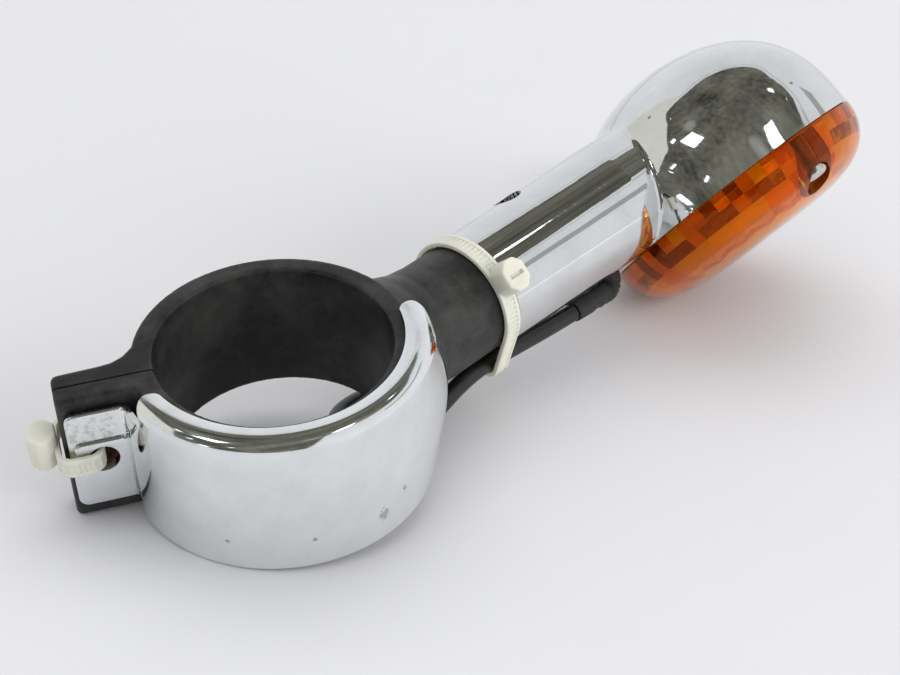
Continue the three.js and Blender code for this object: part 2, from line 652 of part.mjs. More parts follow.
add(stemAxis, "contact_rivet", contactRivet(), brass);
add(stemAxis, "feed_wire", feedWire(), vinyl);
add(stemAxis, "earth_wire", earthWire(), vinyl);
add(stemAxis, "bulb_base", bulbBase(), brass);
add(stemAxis, "bulb_glass", bulbGlass(), glass);
add(stemAxis, "filament_mount", filamentMount(), glass);
add(stemAxis, "filament", filament(), tungsten);
add(lensAxis, "lens_gasket", pipe(GASKET_R[0], GASKET_R[1], -0.6, 0, 44), seal);
add(lensAxis, "lens", lens(), amber);
screwPlaces.forEach(([x, y], i) => add(lensAxis, `lens_screw_${i + 1}`, move(lensScrew(), x, y, 0), steel));

export default root;
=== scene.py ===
# Turn signal on a rubber fork clamp: looks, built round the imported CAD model.
import bpy
import bmesh
from math import asin, atan2, ceil, cos, degrees, hypot, pi, radians, sin
from mathutils import Matrix, Vector, noise

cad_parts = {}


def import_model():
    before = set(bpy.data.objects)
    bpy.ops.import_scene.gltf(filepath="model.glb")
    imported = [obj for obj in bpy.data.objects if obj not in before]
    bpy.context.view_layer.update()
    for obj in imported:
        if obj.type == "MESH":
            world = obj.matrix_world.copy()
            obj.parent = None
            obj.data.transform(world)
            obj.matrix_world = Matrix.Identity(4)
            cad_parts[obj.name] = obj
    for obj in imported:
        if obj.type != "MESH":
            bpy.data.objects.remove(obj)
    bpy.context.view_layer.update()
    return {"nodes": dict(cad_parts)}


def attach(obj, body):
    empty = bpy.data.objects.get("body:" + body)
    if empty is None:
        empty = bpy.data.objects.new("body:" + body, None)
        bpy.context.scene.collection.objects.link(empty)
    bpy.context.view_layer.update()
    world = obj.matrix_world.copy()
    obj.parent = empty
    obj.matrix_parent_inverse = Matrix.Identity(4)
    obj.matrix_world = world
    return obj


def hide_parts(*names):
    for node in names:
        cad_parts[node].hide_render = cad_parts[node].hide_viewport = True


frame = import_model()
MM = 0.001

# Sizes that repeat the CAD model's, in millimetres in the clamp's frame
BORE_R = 25
COLLAR_R = 29.6
SEAT_R = 31.6
COLLAR_H = 31.8
BAND_R = 33.2
BAND_T = 1.2
BAND_TOP = 17.9
BAND_LOW = -16.4
BAND_FROM = 166
BAND_TO = 336
BAND_BEND = 3.3
FLARE = 3.4
FLARE_Z = 0.5
FLARE_H = 16.4
LIP_R = 27.2
EAR_TURN = 151
EAR_END = 45.6
HOLE_REACH = 38.1
HOLE_Z = 1
ARM_R = 13.8
ARM_Z = -5.6
ARM_END = 60.4
STEM_START = 60.9
STEM_R = 14.7
FOOT_START = 96
STEM_FOOT_R = 15.3
STEM_BORE_R = 12.7
BOWL_R = 37.6
BOWL_DEPTH = 37.8
BOWL_ROUND = (1.03, 0.72)
BOWL_WALL = 2
LENS_DEPTH = 15.6
LENS_ROUND = (0.46, 0.92)
LENS_WALL = 2.2
LENS_GAP = 0.3
GASKET_R = (34.4, 36.4)
SCREW_REACH = 30.6
SCREW_TURN = 98
SCREW_SEAT = 9
LEAD_R = 2.25
BOOT_X = 102
STRAP_T = 1.2
STRAP_W = 4.4

# Frames: the clamp lying at rest, the stem's axis, the split ears and the lens
CLAMP = (
    Matrix.Translation((-68.5 * MM, 5.1 * MM, 22.3 * MM))
    @ Matrix.Rotation(radians(-10), 4, "Y")
    @ Matrix.Rotation(radians(3.6), 4, "X")
    @ Matrix.Scale(MM, 4)
)
STEM = CLAMP @ Matrix.Translation((0, 0, ARM_Z))
EARS = CLAMP @ Matrix.Rotation(radians(EAR_TURN), 4, "Z")
FACE = radians(34.4)
FACE_X = 148
FACE_OUT = 15.3
LENS_IN_STEM = (
    Matrix.Translation((FACE_X, -FACE_OUT * cos(FACE), -FACE_OUT * sin(FACE)))
    @ Matrix.Rotation(radians(90) + FACE, 4, "X")
)
LENS = STEM @ LENS_IN_STEM
ALONG_X = Matrix.Rotation(radians(90), 4, "Y")


# ---------------- camera
def make_camera():
    turn = CLAMP.to_3x3().normalized()
    forward = (turn @ Vector((0.562, 0.545, -0.622))).normalized()
    down = turn @ Vector((-0.454, -0.425, -0.783))
    right = down.cross(forward).normalized()
    up = right.cross(forward).normalized()
    data = bpy.data.cameras.new("camera")
    data.sensor_width = 36
    data.lens = 64
    data.shift_y = -37.5 / 900
    data.clip_start = 0.01
    camera = bpy.data.objects.new("camera", data)
    axes = Matrix((right, up, -forward)).transposed().to_4x4()
    camera.matrix_world = Matrix.Translation((-0.2605, -0.2121, 0.2073)) @ axes
    bpy.context.scene.collection.objects.link(camera)
    bpy.context.scene.camera = camera


make_camera()


# ---------------- mesh tools (local millimetres)
def mesh_object(name, verts, faces):
    mesh = bpy.data.meshes.new(name)
    mesh.from_pydata([tuple(v) for v in verts], [], faces)
    work = bmesh.new()
    work.from_mesh(mesh)
    bmesh.ops.remove_doubles(work, verts=work.verts, dist=1e-4)
    bmesh.ops.recalc_face_normals(work, faces=work.faces)
    work.to_mesh(mesh)
    work.free()
    obj = bpy.data.objects.new(name, mesh)
    bpy.context.scene.collection.objects.link(obj)
    return obj


def turned(name, profile, steps=128, arc=None):
    """A solid round Z from (radius, z) points: a closed loop, or a line from axis to axis."""
    open_line = profile[0][0] == 0 and profile[-1][0] == 0
    rows = len(profile)
    start, end = arc or (0, 360)
    rings = steps if arc is None else steps + 1
    verts = []
    for i in range(rings):
        a = radians(start + (end - start) * i / steps)
        verts += [(r * cos(a), r * sin(a), z) for r, z in profile]
    faces = []
    for i in range(steps):
        here, there = i * rows, ((i + 1) % rings) * rows
        for j in range(rows - 1 if open_line else rows):
            k = (j + 1) % rows
            faces.append((here + j, there + j, there + k, here + k))
    if arc is not None:
        faces.append(tuple(range(rows)))
        faces.append(tuple(range((rings - 1) * rows, rings * rows)))
    return mesh_object(name, verts, faces)


def rod(name, radius, low, high, steps=64):
    return turned(name, [(0, low), (radius, low), (radius, high), (0, high)], steps)


def pipe(name, outer, inner, low, high, steps=96):
    return turned(name, [(inner, low), (outer, low), (outer, high), (inner, high)], steps)


def loft(name, sections, sides=96):
    """A solid along X through ovals (x, centre z, half width, half height)."""
    verts = []
    for x, z, wide, tall in sections:
        for i in range(sides):
            a = 2 * pi * i / sides
            verts.append((x, wide * cos(a), z + tall * sin(a)))
    faces = []
    for s in range(len(sections) - 1):
        for i in range(sides):
            a, b = s * sides + i, s * sides + (i + 1) % sides
            faces.append((a, b, b + sides, a + sides))
    faces.append(tuple(range(sides)))
    faces.append(tuple(range((len(sections) - 1) * sides, len(sections) * sides)))
    return mesh_object(name, verts, faces)


def prism(name, outline, low, high):
    count = len(outline)
    verts = [(x, y, z) for z in (low, high) for x, y in outline]
    faces = [tuple(range(count)), tuple(range(count, 2 * count))]
    faces += [(i, (i + 1) % count, count + (i + 1) % count, count + i) for i in range(count)]
    return mesh_object(name, verts, faces)


def block(name, x0, x1, y0, y1, z0, z1):
    return prism(name, [(x0, y0), (x1, y0), (x1, y1), (x0, y1)], z0, z1)


def rounded(x0, y0, x1, y1, r, steps=8):
    points = []
    corners = ((x1 - r, y0 + r, -90), (x1 - r, y1 - r, 0), (x0 + r, y1 - r, 90), (x0 + r, y0 + r, 180))
    for x, y, first in corners:
        for i in range(steps + 1):
            a = radians(first + 90 * i / steps)
            points.append((x + r * cos(a), y + r * sin(a)))
    return points


def wedge(name, start, end, reach, low, high):
    steps = ceil((end - start) / 5)
    angles = [radians(start + (end - start) * i / steps) for i in range(steps + 1)]
    return prism(name, [(0, 0)] + [(reach * cos(a), reach * sin(a)) for a in angles], low, high)


def moved(obj, matrix):
    obj.data.transform(matrix)
    return obj


def shifted(obj, x, y, z):
    return moved(obj, Matrix.Translation((x, y, z)))


def spun(obj, angle, axis="Z"):
    return moved(obj, Matrix.Rotation(radians(angle), 4, axis))


def bake(obj):
    """Applies the modifiers."""
    graph = bpy.context.evaluated_depsgraph_get()
    made = bpy.data.meshes.new_from_object(obj.evaluated_get(graph))
    old = obj.data
    obj.modifiers.clear()
    obj.data = made
    bpy.data.meshes.remove(old)
    return obj


def combined(obj, how, *tools):
    for tool in tools:
        step = obj.modifiers.new("combine", "BOOLEAN")
        step.operation = how
        step.solver = "EXACT"
        step.object = tool
        bake(obj)
        bpy.data.objects.remove(tool)
    return obj


def cut(obj, *tools):
    return combined(obj, "DIFFERENCE", *tools)


def join(obj, *tools):
    return combined(obj, "UNION", *tools)


def common(obj, *tools):
    return combined(obj, "INTERSECT", *tools)


def bevelled(obj, width):
    step = obj.modifiers.new("bevel", "BEVEL")
    step.width = width
    step.segments = 3
    step.limit_method = "ANGLE"
    step.angle_limit = radians(35)
    return bake(obj)


def moulded(obj, voxel, smoothing):
    """One even skin with softened edges, as a moulding has."""
    step = obj.modifiers.new("remesh", "REMESH")
    step.mode = "VOXEL"
    step.voxel_size = voxel
    soft = obj.modifiers.new("smooth", "SMOOTH")
    soft.factor = 0.5
    soft.iterations = smoothing
    return bake(obj)


def tube(name, points, radius, sides=16, steps=6):
    """A round closed tube along points, smoothed between them."""
    path = smooth_path([Vector(p) for p in points], steps)
    side = None
    verts = []
    for i, p in enumerate(path):
        along = (path[min(i + 1, len(path) - 1)] - path[max(i - 1, 0)]).normalized()
        if side is None:
            side = along.orthogonal().normalized()
        side = (side - along * side.dot(along)).normalized()
        other = along.cross(side)
        r = radius(i / (len(path) - 1)) if callable(radius) else radius
        for k in range(sides):
            a = 2 * pi * k / sides
            verts.append(p + side * (r * cos(a)) + other * (r * sin(a)))
    faces = []
    for i in range(len(path) - 1):
        for k in range(sides):
            a, b = i * sides + k, i * sides + (k + 1) % sides
            faces.append((a, b, b + sides, a + sides))
    faces.append(tuple(range(sides)))
    faces.append(tuple(range((len(path) - 1) * sides, len(path) * sides)))
    return mesh_object(name, verts, faces)


def smooth_path(points, steps):
    path = []
    for i in range(len(points) - 1):
        a, b = points[max(i - 1, 0)], points[i]
        c, d = points[i + 1], points[min(i + 2, len(points) - 1)]
        for k in range(steps):
            t = k / steps
            bend = (2 * a - 5 * b + 4 * c - d) * t**2 + (3 * b - a - 3 * c + d) * t**3
            path.append(0.5 * ((2 * b) + (c - a) * t + bend))
    path.append(points[-1])
    return path


def settle(obj, place, look, slot, *nodes, body="lamp", sharp=40):
    """Puts a finished piece in the row frame, with its look, in place of its CAD nodes."""
    moved(obj, place)
    obj.data.shade_smooth()
    obj.data.set_sharp_from_angle(angle=radians(sharp))
    obj.data.materials.clear()
    obj.data.materials.append(look)
    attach(obj, body)
    if nodes:
        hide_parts(*nodes)
    return obj


# ---------------- materials
class Look:
    """A Principled material with procedural detail in the piece's own coordinates."""

    def __init__(self, name, **settings):
        self.material = bpy.data.materials.new(name)
        self.material.use_nodes = True
        self.nodes = self.material.node_tree.nodes
        self.links = self.material.node_tree.links
        self.shader = self.nodes["Principled BSDF"]
        self.place = self.nodes.new("ShaderNodeTexCoord").outputs["Object"]
        self.normal = None
        for key, value in settings.items():
            self.shader.inputs[key.replace("_", " ")].default_value = value

    def noise(self, scale, detail=4, rough=0.6, stretch=(1, 1, 1)):
        mapping = self.nodes.new("ShaderNodeMapping")
        mapping.inputs["Scale"].default_value = stretch
        self.links.new(self.place, mapping.inputs["Vector"])
        node = self.nodes.new("ShaderNodeTexNoise")
        node.inputs["Scale"].default_value = scale
        node.inputs["Detail"].default_value = detail
        node.inputs["Roughness"].default_value = rough
        self.links.new(mapping.outputs["Vector"], node.inputs["Vector"])
        return node.outputs["Fac"]

    def cells(self, scale):
        node = self.nodes.new("ShaderNodeTexVoronoi")
        node.inputs["Scale"].default_value = scale
        self.links.new(self.place, node.inputs["Vector"])
        return node.outputs["Distance"]

    def ramp(self, value, *stops):
        node = self.nodes.new("ShaderNodeValToRGB")
        marks = node.color_ramp.elements
        while len(marks) < len(stops):
            marks.new(0.5)
        for mark, (at, colour) in zip(marks, stops):
            mark.position = at
            mark.color = (colour, colour, colour, 1) if isinstance(colour, (int, float)) else (*colour, 1)
        self.links.new(value, node.inputs["Fac"])
        return node.outputs["Color"]

    def feed(self, socket, value):
        """Sets a colour or a number on a socket, or links another node's output to it."""
        if isinstance(value, tuple):
            socket.default_value = (*value, 1)
        elif isinstance(value, (int, float)):
            socket.default_value = value
        else:
            self.links.new(value, socket)

    def mix(self, amount, first, second):
        node = self.nodes.new("ShaderNodeMix")
        node.data_type = "RGBA"
        for socket, value in ((0, amount), (6, first), (7, second)):
            self.feed(node.inputs[socket], value)
        return node.outputs[2]

    def times(self, first, second):
        node = self.nodes.new("ShaderNodeMath")
        node.operation = "MULTIPLY"
        self.feed(node.inputs[0], first)
        self.feed(node.inputs[1], second)
        return node.outputs[0]

    def spot(self, at, size):
        """A ragged mark round one place, given in the clamp's own millimetres."""
        node = self.nodes.new("ShaderNodeVectorMath")
        node.operation = "DISTANCE"
        node.inputs[1].default_value = CLAMP @ Vector(at)
        self.links.new(self.place, node.inputs[0])
        ragged = self.ramp(self.noise(700, 3), (0.35, 0.3), (0.65, 1))
        reach = self.times(self.times(node.outputs["Value"], 1 / (size * MM)), ragged)
        return self.ramp(reach, (0.35, 1), (0.6, 0))

    def bump(self, height, strength, distance):
        node = self.nodes.new("ShaderNodeBump")
        node.inputs["Strength"].default_value = strength
        node.inputs["Distance"].default_value = distance
        self.links.new(height, node.inputs["Height"])
        if self.normal is not None:
            self.links.new(self.normal, node.inputs["Normal"])
        self.normal = node.outputs["Normal"]

    def done(self, colour=None, roughness=None):
        if colour is not None:
            self.links.new(colour, self.shader.inputs["Base Color"])
        if roughness is not None:
            self.links.new(roughness, self.shader.inputs["Roughness"])
        if self.normal is not None:
            self.links.new(self.normal, self.shader.inputs["Normal"])
        return self.material


def chrome_look(name, tone, haze, pits, chips=()):
    look = Look(name, Metallic=1.0)
    smudge = look.noise(85, 7, 0.72)
    scuff = look.noise(900, 6, 0.7, (1, 0.2, 1))
    spots = look.ramp(look.cells(150), (0.05, 1), (0.1, 0))
    sparse = look.ramp(look.noise(48, 2), (0.56, 0), (0.62, 1))
    marks = look.times(spots, look.times(sparse, pits))
    hairs = look.ramp(look.noise(420, 2, 0.5, (1, 0.05, 0.6)), (0.665, 0), (0.69, 0.5))
    scratches = look.times(hairs, look.ramp(look.noise(38, 2), (0.5, 0), (0.6, 1)))
    clean = look.mix(look.ramp(smudge, (0.35, 0), (0.7, 1)), tone, tuple(c * 0.87 for c in tone))
    colour = look.mix(marks, clean, (0.16, 0.16, 0.16))
    wear = look.ramp(scuff, (0.5, haze[0]), (0.78, haze[1]))
    roughness = look.mix(look.ramp(smudge, (0.45, 0), (0.8, 0.6)), wear, (haze[1],) * 3)
    for at, size, shade, rough in chips:
        chip = look.spot(at, size)
        colour = look.mix(chip, colour, (shade,) * 3)
        roughness = look.mix(chip, roughness, (rough,) * 3)
    look.bump(look.noise(120, 2), 0.06, 0.0004)
    look.bump(marks, 0.25, -0.0002)
    look.bump(scratches, 0.2, -0.0001)
    return look.done(colour, roughness)


def rubber_look(name, tone, dust, roughness):
    look = Look(name, Specular_IOR_Level=0.45)
    cloud = look.ramp(look.noise(38, 7, 0.72), (0.45, 0), (0.68, 1))
    speck = look.ramp(look.noise(1400, 3, 0.7), (0.66, 0), (0.76, 0.7))
    colour = look.mix(cloud, tone, dust)
    colour = look.mix(speck, colour, tuple(c * 1.6 for c in dust))
    look.bump(look.noise(2600, 4), 0.18, 0.00012)
    look.bump(look.noise(160, 3), 0.12, 0.0005)
    worn = look.ramp(look.noise(80, 5), (0.3, roughness - 0.1), (0.75, roughness + 0.1))
    return look.done(colour, worn)


def nylon_look():
    look = Look("nylon_look", Subsurface_Weight=0.55, Subsurface_Scale=0.0025, Specular_IOR_Level=0.5)
    look.shader.inputs["Subsurface Radius"].default_value = (1.0, 0.85, 0.6)
    colour = look.mix(look.noise(150, 4), (0.8, 0.79, 0.7), (0.66, 0.65, 0.55))
    look.bump(look.noise(700, 3), 0.12, 0.0002)
    return look.done(colour, look.ramp(look.noise(300), (0.3, 0.32), (0.7, 0.5)))


def metal_look(name, light, dark, roughness):
    look = Look(name, Metallic=1.0)
    colour = look.mix(look.ramp(look.noise(140, 6, 0.7), (0.35, 0), (0.7, 1)), light, dark)
    look.bump(look.noise(1500, 4), 0.25, 0.00015)
    return look.done(colour, look.ramp(look.noise(400), (0.3, roughness * 0.75), (0.7, roughness * 1.25)))


def rust_look():
    look = Look("rust_look", Metallic=0.35)
    patches = look.ramp(look.noise(420, 6, 0.75), (0.35, 0), (0.68, 1))
    colour = look.mix(patches, (0.2, 0.085, 0.04), (0.06, 0.03, 0.02))
    look.bump(look.noise(1700, 5), 0.6, 0.0003)
    return look.done(colour, look.ramp(look.noise(600), (0.3, 0.55), (0.7, 0.85)))


def amber_look(name, first, second, clear, shine):
    tint = (1, 1, 1, 1) if shine > 0.4 else (1.0, 0.5, 0.12, 1)
    look = Look(name, Transmission_Weight=clear, IOR=1.49, Specular_IOR_Level=shine, Specular_Tint=tint)
    colour = look.mix(look.noise(60, 3), first, second)
    look.bump(look.noise(90, 2), 0.02, 0.0004)
    return look.done(colour, look.ramp(look.noise(500, 4), (0.45, 0.015), (0.8, 0.08)))


def glass_look():
    look = Look("glass_look", Transmission_Weight=1.0, IOR=1.45)
    return look.done(None, look.ramp(look.noise(300, 4), (0.4, 0.0), (0.8, 0.06)))


def plastic_look(name, tone, roughness):
    look = Look(name)
    dusty = look.ramp(look.noise(130, 5, 0.7), (0.45, 0), (0.8, 1))
    colour = look.mix(dusty, tone, tuple(c * 2 + 0.01 for c in tone))
    look.bump(look.noise(900, 4), 0.12, 0.0002)
    return look.done(colour, look.ramp(look.noise(250), (0.3, roughness * 0.8), (0.7, roughness * 1.3)))


CHROME = chrome_look("chrome_look", (0.75, 0.765, 0.77), (0.03, 0.13), 0.9)
# Wear on the band's chrome: place, size, shade, roughness
def on_band(turn, height):
    return (BAND_R * cos(radians(turn)), BAND_R * sin(radians(turn)), height)


CHIPS = [
    (on_band(-93, -10), 1.5, 0.5, 0.4),
    (on_band(-82, -7), 0.7, 0.5, 0.4),
    (on_band(-151, -9), 0.6, 0.4, 0.4),
    (on_band(-120, -9), 0.6, 0.4, 0.4),
    ((-36, 19, 10), 8, 0.62, 0.35),  # dull patch on the ear's plate
]
BAND_CHROME = chrome_look("band_chrome_look", (0.84, 0.865, 0.87), (0.06, 0.2), 1.4, CHIPS)
REFLECTOR = metal_look("reflector_look", (0.9, 0.9, 0.88), (0.84, 0.84, 0.82), 0.45)
RUBBER = rubber_look("rubber_look", (0.007, 0.0072, 0.0078), (0.05, 0.05, 0.046), 0.5)
SEAL = rubber_look("seal_look", (0.02, 0.02, 0.02), (0.035, 0.035, 0.034), 0.6)
NYLON = nylon_look()
STEEL = metal_look("steel_look", (0.62, 0.61, 0.58), (0.42, 0.41, 0.38), 0.32)
SCREW = metal_look("screw_look", (0.7, 0.69, 0.66), (0.5, 0.49, 0.46), 0.22)
TUNGSTEN = metal_look("tungsten_look", (0.3, 0.3, 0.3), (0.2, 0.2, 0.2), 0.4)
BRASS = metal_look("brass_look", (0.78, 0.57, 0.26), (0.55, 0.38, 0.16), 0.28)
RUST = rust_look()
AMBER = amber_look("amber_look", (1.0, 0.38, 0.015), (1.0, 0.31, 0.01), 0.95, 0.5)
# Painted light and shade on the lens: copies of the amber in paler, darker and deeper tints for its
# prisms and screw wells, and one with its reflection turned down for the lower side wall.
AMBER_SIDE = amber_look("amber_side_look", (1.0, 0.4, 0.01), (1.0, 0.34, 0.006), 1.0, 0.04)
AMBER_PAINTED_LIGHT = amber_look("amber_painted_light_look", (1.0, 0.66, 0.0), (1.0, 0.52, 0.0), 0.4, 0.3)
AMBER_PAINTED_SHADE = amber_look("amber_painted_shade_look", (0.2, 0.03, 0.0), (0.36, 0.07, 0.0), 0.6, 0.3)
AMBER_PAINTED_DEEP_SHADE = amber_look("amber_painted_deep_shade_look", (0.95, 0.17, 0.0), (1.0, 0.26, 0.0), 0.55, 0.3)
AMBER_PAINTED_HALF_SHADE = amber_look("amber_painted_half_shade_look", (1.0, 0.29, 0.0), (1.0, 0.36, 0.0), 0.5, 0.3)
GLASS = glass_look()
VINYL = plastic_look("vinyl_look", (0.008, 0.008, 0.009), 0.32)
PHENOLIC = plastic_look("phenolic_look", (0.2, 0.1, 0.045), 0.5)


# ---------------- the lead
def lead_at(x, reach, angle=-120):
    return (x, reach * cos(radians(angle)), reach * sin(radians(angle)))


LEAD_ROUTE = [
    (0.0207, -0.0029, 0.01525), (0.014, -0.0027, 0.0144), (0.006, -0.00245, 0.0136),
    (-0.002, -0.00215, 0.0129), (-0.0078, -0.0019, 0.01235), (-0.0157, -0.0019, 0.0108),
    (-0.022, -0.0022, 0.0085), (-0.029, -0.0026, 0.005), (-0.0372, -0.0032, 0.0029),
    (-0.042, -0.0019, 0.0025), (-0.0455, 0.0016, 0.0025), (-0.0468, 0.0064, 0.0025),
    (-0.0455, 0.0112, 0.0025), (-0.042, 0.0147, 0.0025), (-0.0372, 0.016, 0.0025),
    (-0.0285, 0.0164, 0.0025), (-0.018, 0.0172, 0.0025), (0.002, 0.021, 0.0025),
    (0.030, 0.0265, 0.0025), (0.058, 0.0296, 0.0025), (0.084, 0.0302, 0.0025),
    (0.1012, 0.03025, 0.0025),
]
COIL_AT = (0.1155, 0.050)
COIL_R = 0.01975
COIL_LOW = 0.0025
COIL_RISE = 0.00455
TAIL = [(0.1396, 0.0462, 0.0069), (0.1416, 0.0482, 0.0064), (0.1438, 0.0504, 0.0056)]


def coil_points():
    """One turn and an eighth, climbing on to itself after it has passed its own start."""
    points = []
    for turn in range(0, 406, 15):
        a = radians(turn - 90)
        climb = COIL_RISE * min(max((turn - 45) / 315, 0), 1)
        points.append((COIL_AT[0] + COIL_R * cos(a), COIL_AT[1] + COIL_R * sin(a), COIL_LOW + climb))
    return points


def lead_wire_at(side, along, z):
    return (0.144 + 0.707 * (along - side), 0.0506 + 0.707 * (along + side), z)


def lead_wire(name, node, side):
    route = [(side * 1.1, 0, 5.5), (side * 1.5, 5, 3.6), (side * 2.8, 13, 2.6)]
    points = [lead_wire_at(s * MM, along * MM, z * MM) for s, along, z in route]
    return settle(tube(name, points, 0.0009, 12), Matrix.Identity(4), VINYL, "vinyl", node)


def bullet(name, node, side):
    profile = [(0, 0), (1.8, 0), (2.05, 0.15), (2.2, 0.6), (2.2, 8), (1.5, 8.4), (1.5, 10), (1.85, 10.3),
               (2, 10.8), (2, 13), (1.8, 13.8), (1.3, 14.4), (0, 14.6)]
    obj = moved(turned(name, profile, 40), ALONG_X)
    at = lead_wire_at(side * 2.8 * MM, 13.3 * MM, 2.6 * MM)
    place = Matrix.Translation(at) @ Matrix.Rotation(radians(45), 4, "Z") @ Matrix.Scale(MM, 4)
    return settle(obj, place, BRASS, "brass", node)


def make_lead():
    points = LEAD_ROUTE + coil_points() + TAIL
    curve = bpy.data.curves.new("lead", "CURVE")
    curve.dimensions = "3D"
    curve.bevel_depth = LEAD_R * MM
    curve.bevel_resolution = 5
    curve.use_fill_caps = True
    curve.resolution_u = 6
    spline = curve.splines.new("NURBS")
    spline.points.add(len(points) - 1)
    for point, at in zip(spline.points, points):
        point.co = (*at, 1)
    spline.order_u = 4
    spline.use_endpoint_u = True
    curve.materials.append(VINYL)
    lead = bpy.data.objects.new("lead", curve)
    bpy.context.scene.collection.objects.link(lead)
    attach(lead, "lamp")
    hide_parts("lead_run", "lead_coil", "lead_tail")
    ends = [
        lead_wire("signal_lead_wire", "signal_wire", 1),
        lead_wire("ground_lead_wire", "ground_wire", -1),
        bullet("signal_lead_bullet", "signal_bullet", 1),
        bullet("ground_lead_bullet", "ground_bullet", -1),
    ]


make_lead()


# ---------------- rubber mount
def ear_outline(side):
    if side == "rear":
        return [(26, 0.5), (26.6, -12.4), (28.4, -8.3), (30.8, -5.7), (33.4, -4.5), (36, -4.2),
                (44, -3.9), (45.1, -3.6), (EAR_END, -2.6), (EAR_END, 0.5)]
    return [(26, 0.3), (EAR_END, 0.3), (EAR_END, 4.2), (45.2, 5), (44.2, 5.2), (30, 5.2), (26, 9)]


def flared(obj):
    """Swells the band, or the rubber under it, a little over the arm's root."""
    for v in obj.data.vertices:
        turn = degrees(atan2(v.co.y, v.co.x))
        share = max(0, min((turn + 75) / 45, 1)) if turn < 90 else 0
        up = max(0, cos(pi / 2 * (v.co.z - FLARE_Z) / FLARE_H))
        grow = 1 + FLARE * share * share * (3 - 2 * share) * up / BAND_R
        v.co.x *= grow
        v.co.y *= grow
    return obj


def flare_wall(radius):
    return [(radius, z) for z in range(-14, 13, 2)]


def rubber_mount():
    h = COLLAR_H / 2
    mount = pipe("rubber_mount_skin", COLLAR_R, BORE_R, -h, h, 160)
    seat_line = [(BORE_R + 1, -h + 0.2), (SEAT_R, -h + 0.2)] + flare_wall(SEAT_R) + [
        (SEAT_R, h - 2.6), (BORE_R + 1, h - 2.6)]
    seat = common(flared(turned("seat", seat_line, 160)), wedge("seat_part", 172, 340, 60, -30, 30))
    arm = loft("arm", [
        (18, -0.6, 15, 14.4), (26, -0.8, 19.5, 15), (29, -1.2, 18.8, 14.9), (32, -2.2, 16.6, 14.7),
        (36, -3.8, 14.9, 14.3), (41, -5.1, 14.1, 13.95), (47, ARM_Z, ARM_R, ARM_R),
        (ARM_END, ARM_Z, ARM_R, ARM_R),
    ])
    ears = [spun(prism("ear", ear_outline(side), -h, h), EAR_TURN) for side in ("rear", "front")]
    join(mount, seat, arm, *ears)
    wall = SEAT_R + 0.1
    room_line = [(46, 25), (wall, 25)] + flare_wall(wall)[::-1] + [(wall, -25), (46, -25)]
    band_side = wedge("room_part", BAND_FROM, BAND_TO + 1, 60, -30, 30)
    band_ring = common(flared(turned("room", room_line, 160)), band_side)
    keep = shifted(moved(rod("keep", ARM_R + 2.9, 0, 60), ALONG_X), 0, 0, ARM_Z)
    cut(mount, cut(band_ring, keep), rod("bore", BORE_R, -40, 40, 160))
    moulded(mount, 0.42, 7)
    slit = spun(block("slit", 20, 60, 0.3, 0.75, -30, 30), EAR_TURN)
    hole = spun(shifted(spun(rod("hole", 4.9, -12, 14, 48), -90, "X"), HOLE_REACH, 0, HOLE_Z), EAR_TURN)
    stud = shifted(moved(rod("stud_room", 4.4, 45, 80, 40), ALONG_X), 0, 0, ARM_Z)
    cut(mount, slit, hole, stud)
    settle(mount, CLAMP, RUBBER, "rubber", "rubber_mount", sharp=55)


# ---------------- chrome band and its ear plate
def band_section():
    """The wall, its roll at the top and the inward lip, as one closed outline."""
    soft = 0.25
    inside = BAND_R - BAND_T
    outer = [(BAND_R - soft, BAND_LOW), (BAND_R, BAND_LOW + soft)] + flare_wall(BAND_R)
    inner = flare_wall(inside)[::-1] + [(inside, BAND_LOW + soft), (inside + soft, BAND_LOW)]
    middle = (BAND_R - BAND_BEND, BAND_TOP - BAND_BEND)
    steps = 14
    for i in range(steps + 1):
        a = pi / 2 * i / steps
        outer.append((middle[0] + BAND_BEND * cos(a), middle[1] + BAND_BEND * sin(a)))
        r = BAND_BEND - BAND_T
        inner.insert(0, (middle[0] + r * cos(a), middle[1] + r * sin(a)))
    lip = [(LIP_R + 0.7, BAND_TOP - 0.05), (LIP_R + 0.2, BAND_TOP - 0.3), (LIP_R, BAND_TOP - 0.7),
           (LIP_R + 0.2, BAND_TOP - 1.1), (LIP_R + 0.7, BAND_TOP - BAND_T)]
    return outer + lip + inner


def lip_corner(angle, side):
    """The tool that trims the lip's end to a round."""
    r = (BAND_R - LIP_R) / 2 + 0.1
    middle = (BAND_R + LIP_R) / 2
    turn = angle - side * 57.3 * r / middle  # the round's own width, in degrees
    at = radians(turn)
    square = shifted(block("square", -4, 4, 0, 8, 12.6, 30), middle, 0, 0)
    if side < 0:
        square = moved(square, Matrix.Scale(-1, 4, (0, 1, 0)))
    square = spun(square, turn)
    disc = shifted(rod("disc", r, 0, 40, 64), middle * cos(at), middle * sin(at), 0)
    return cut(square, disc)


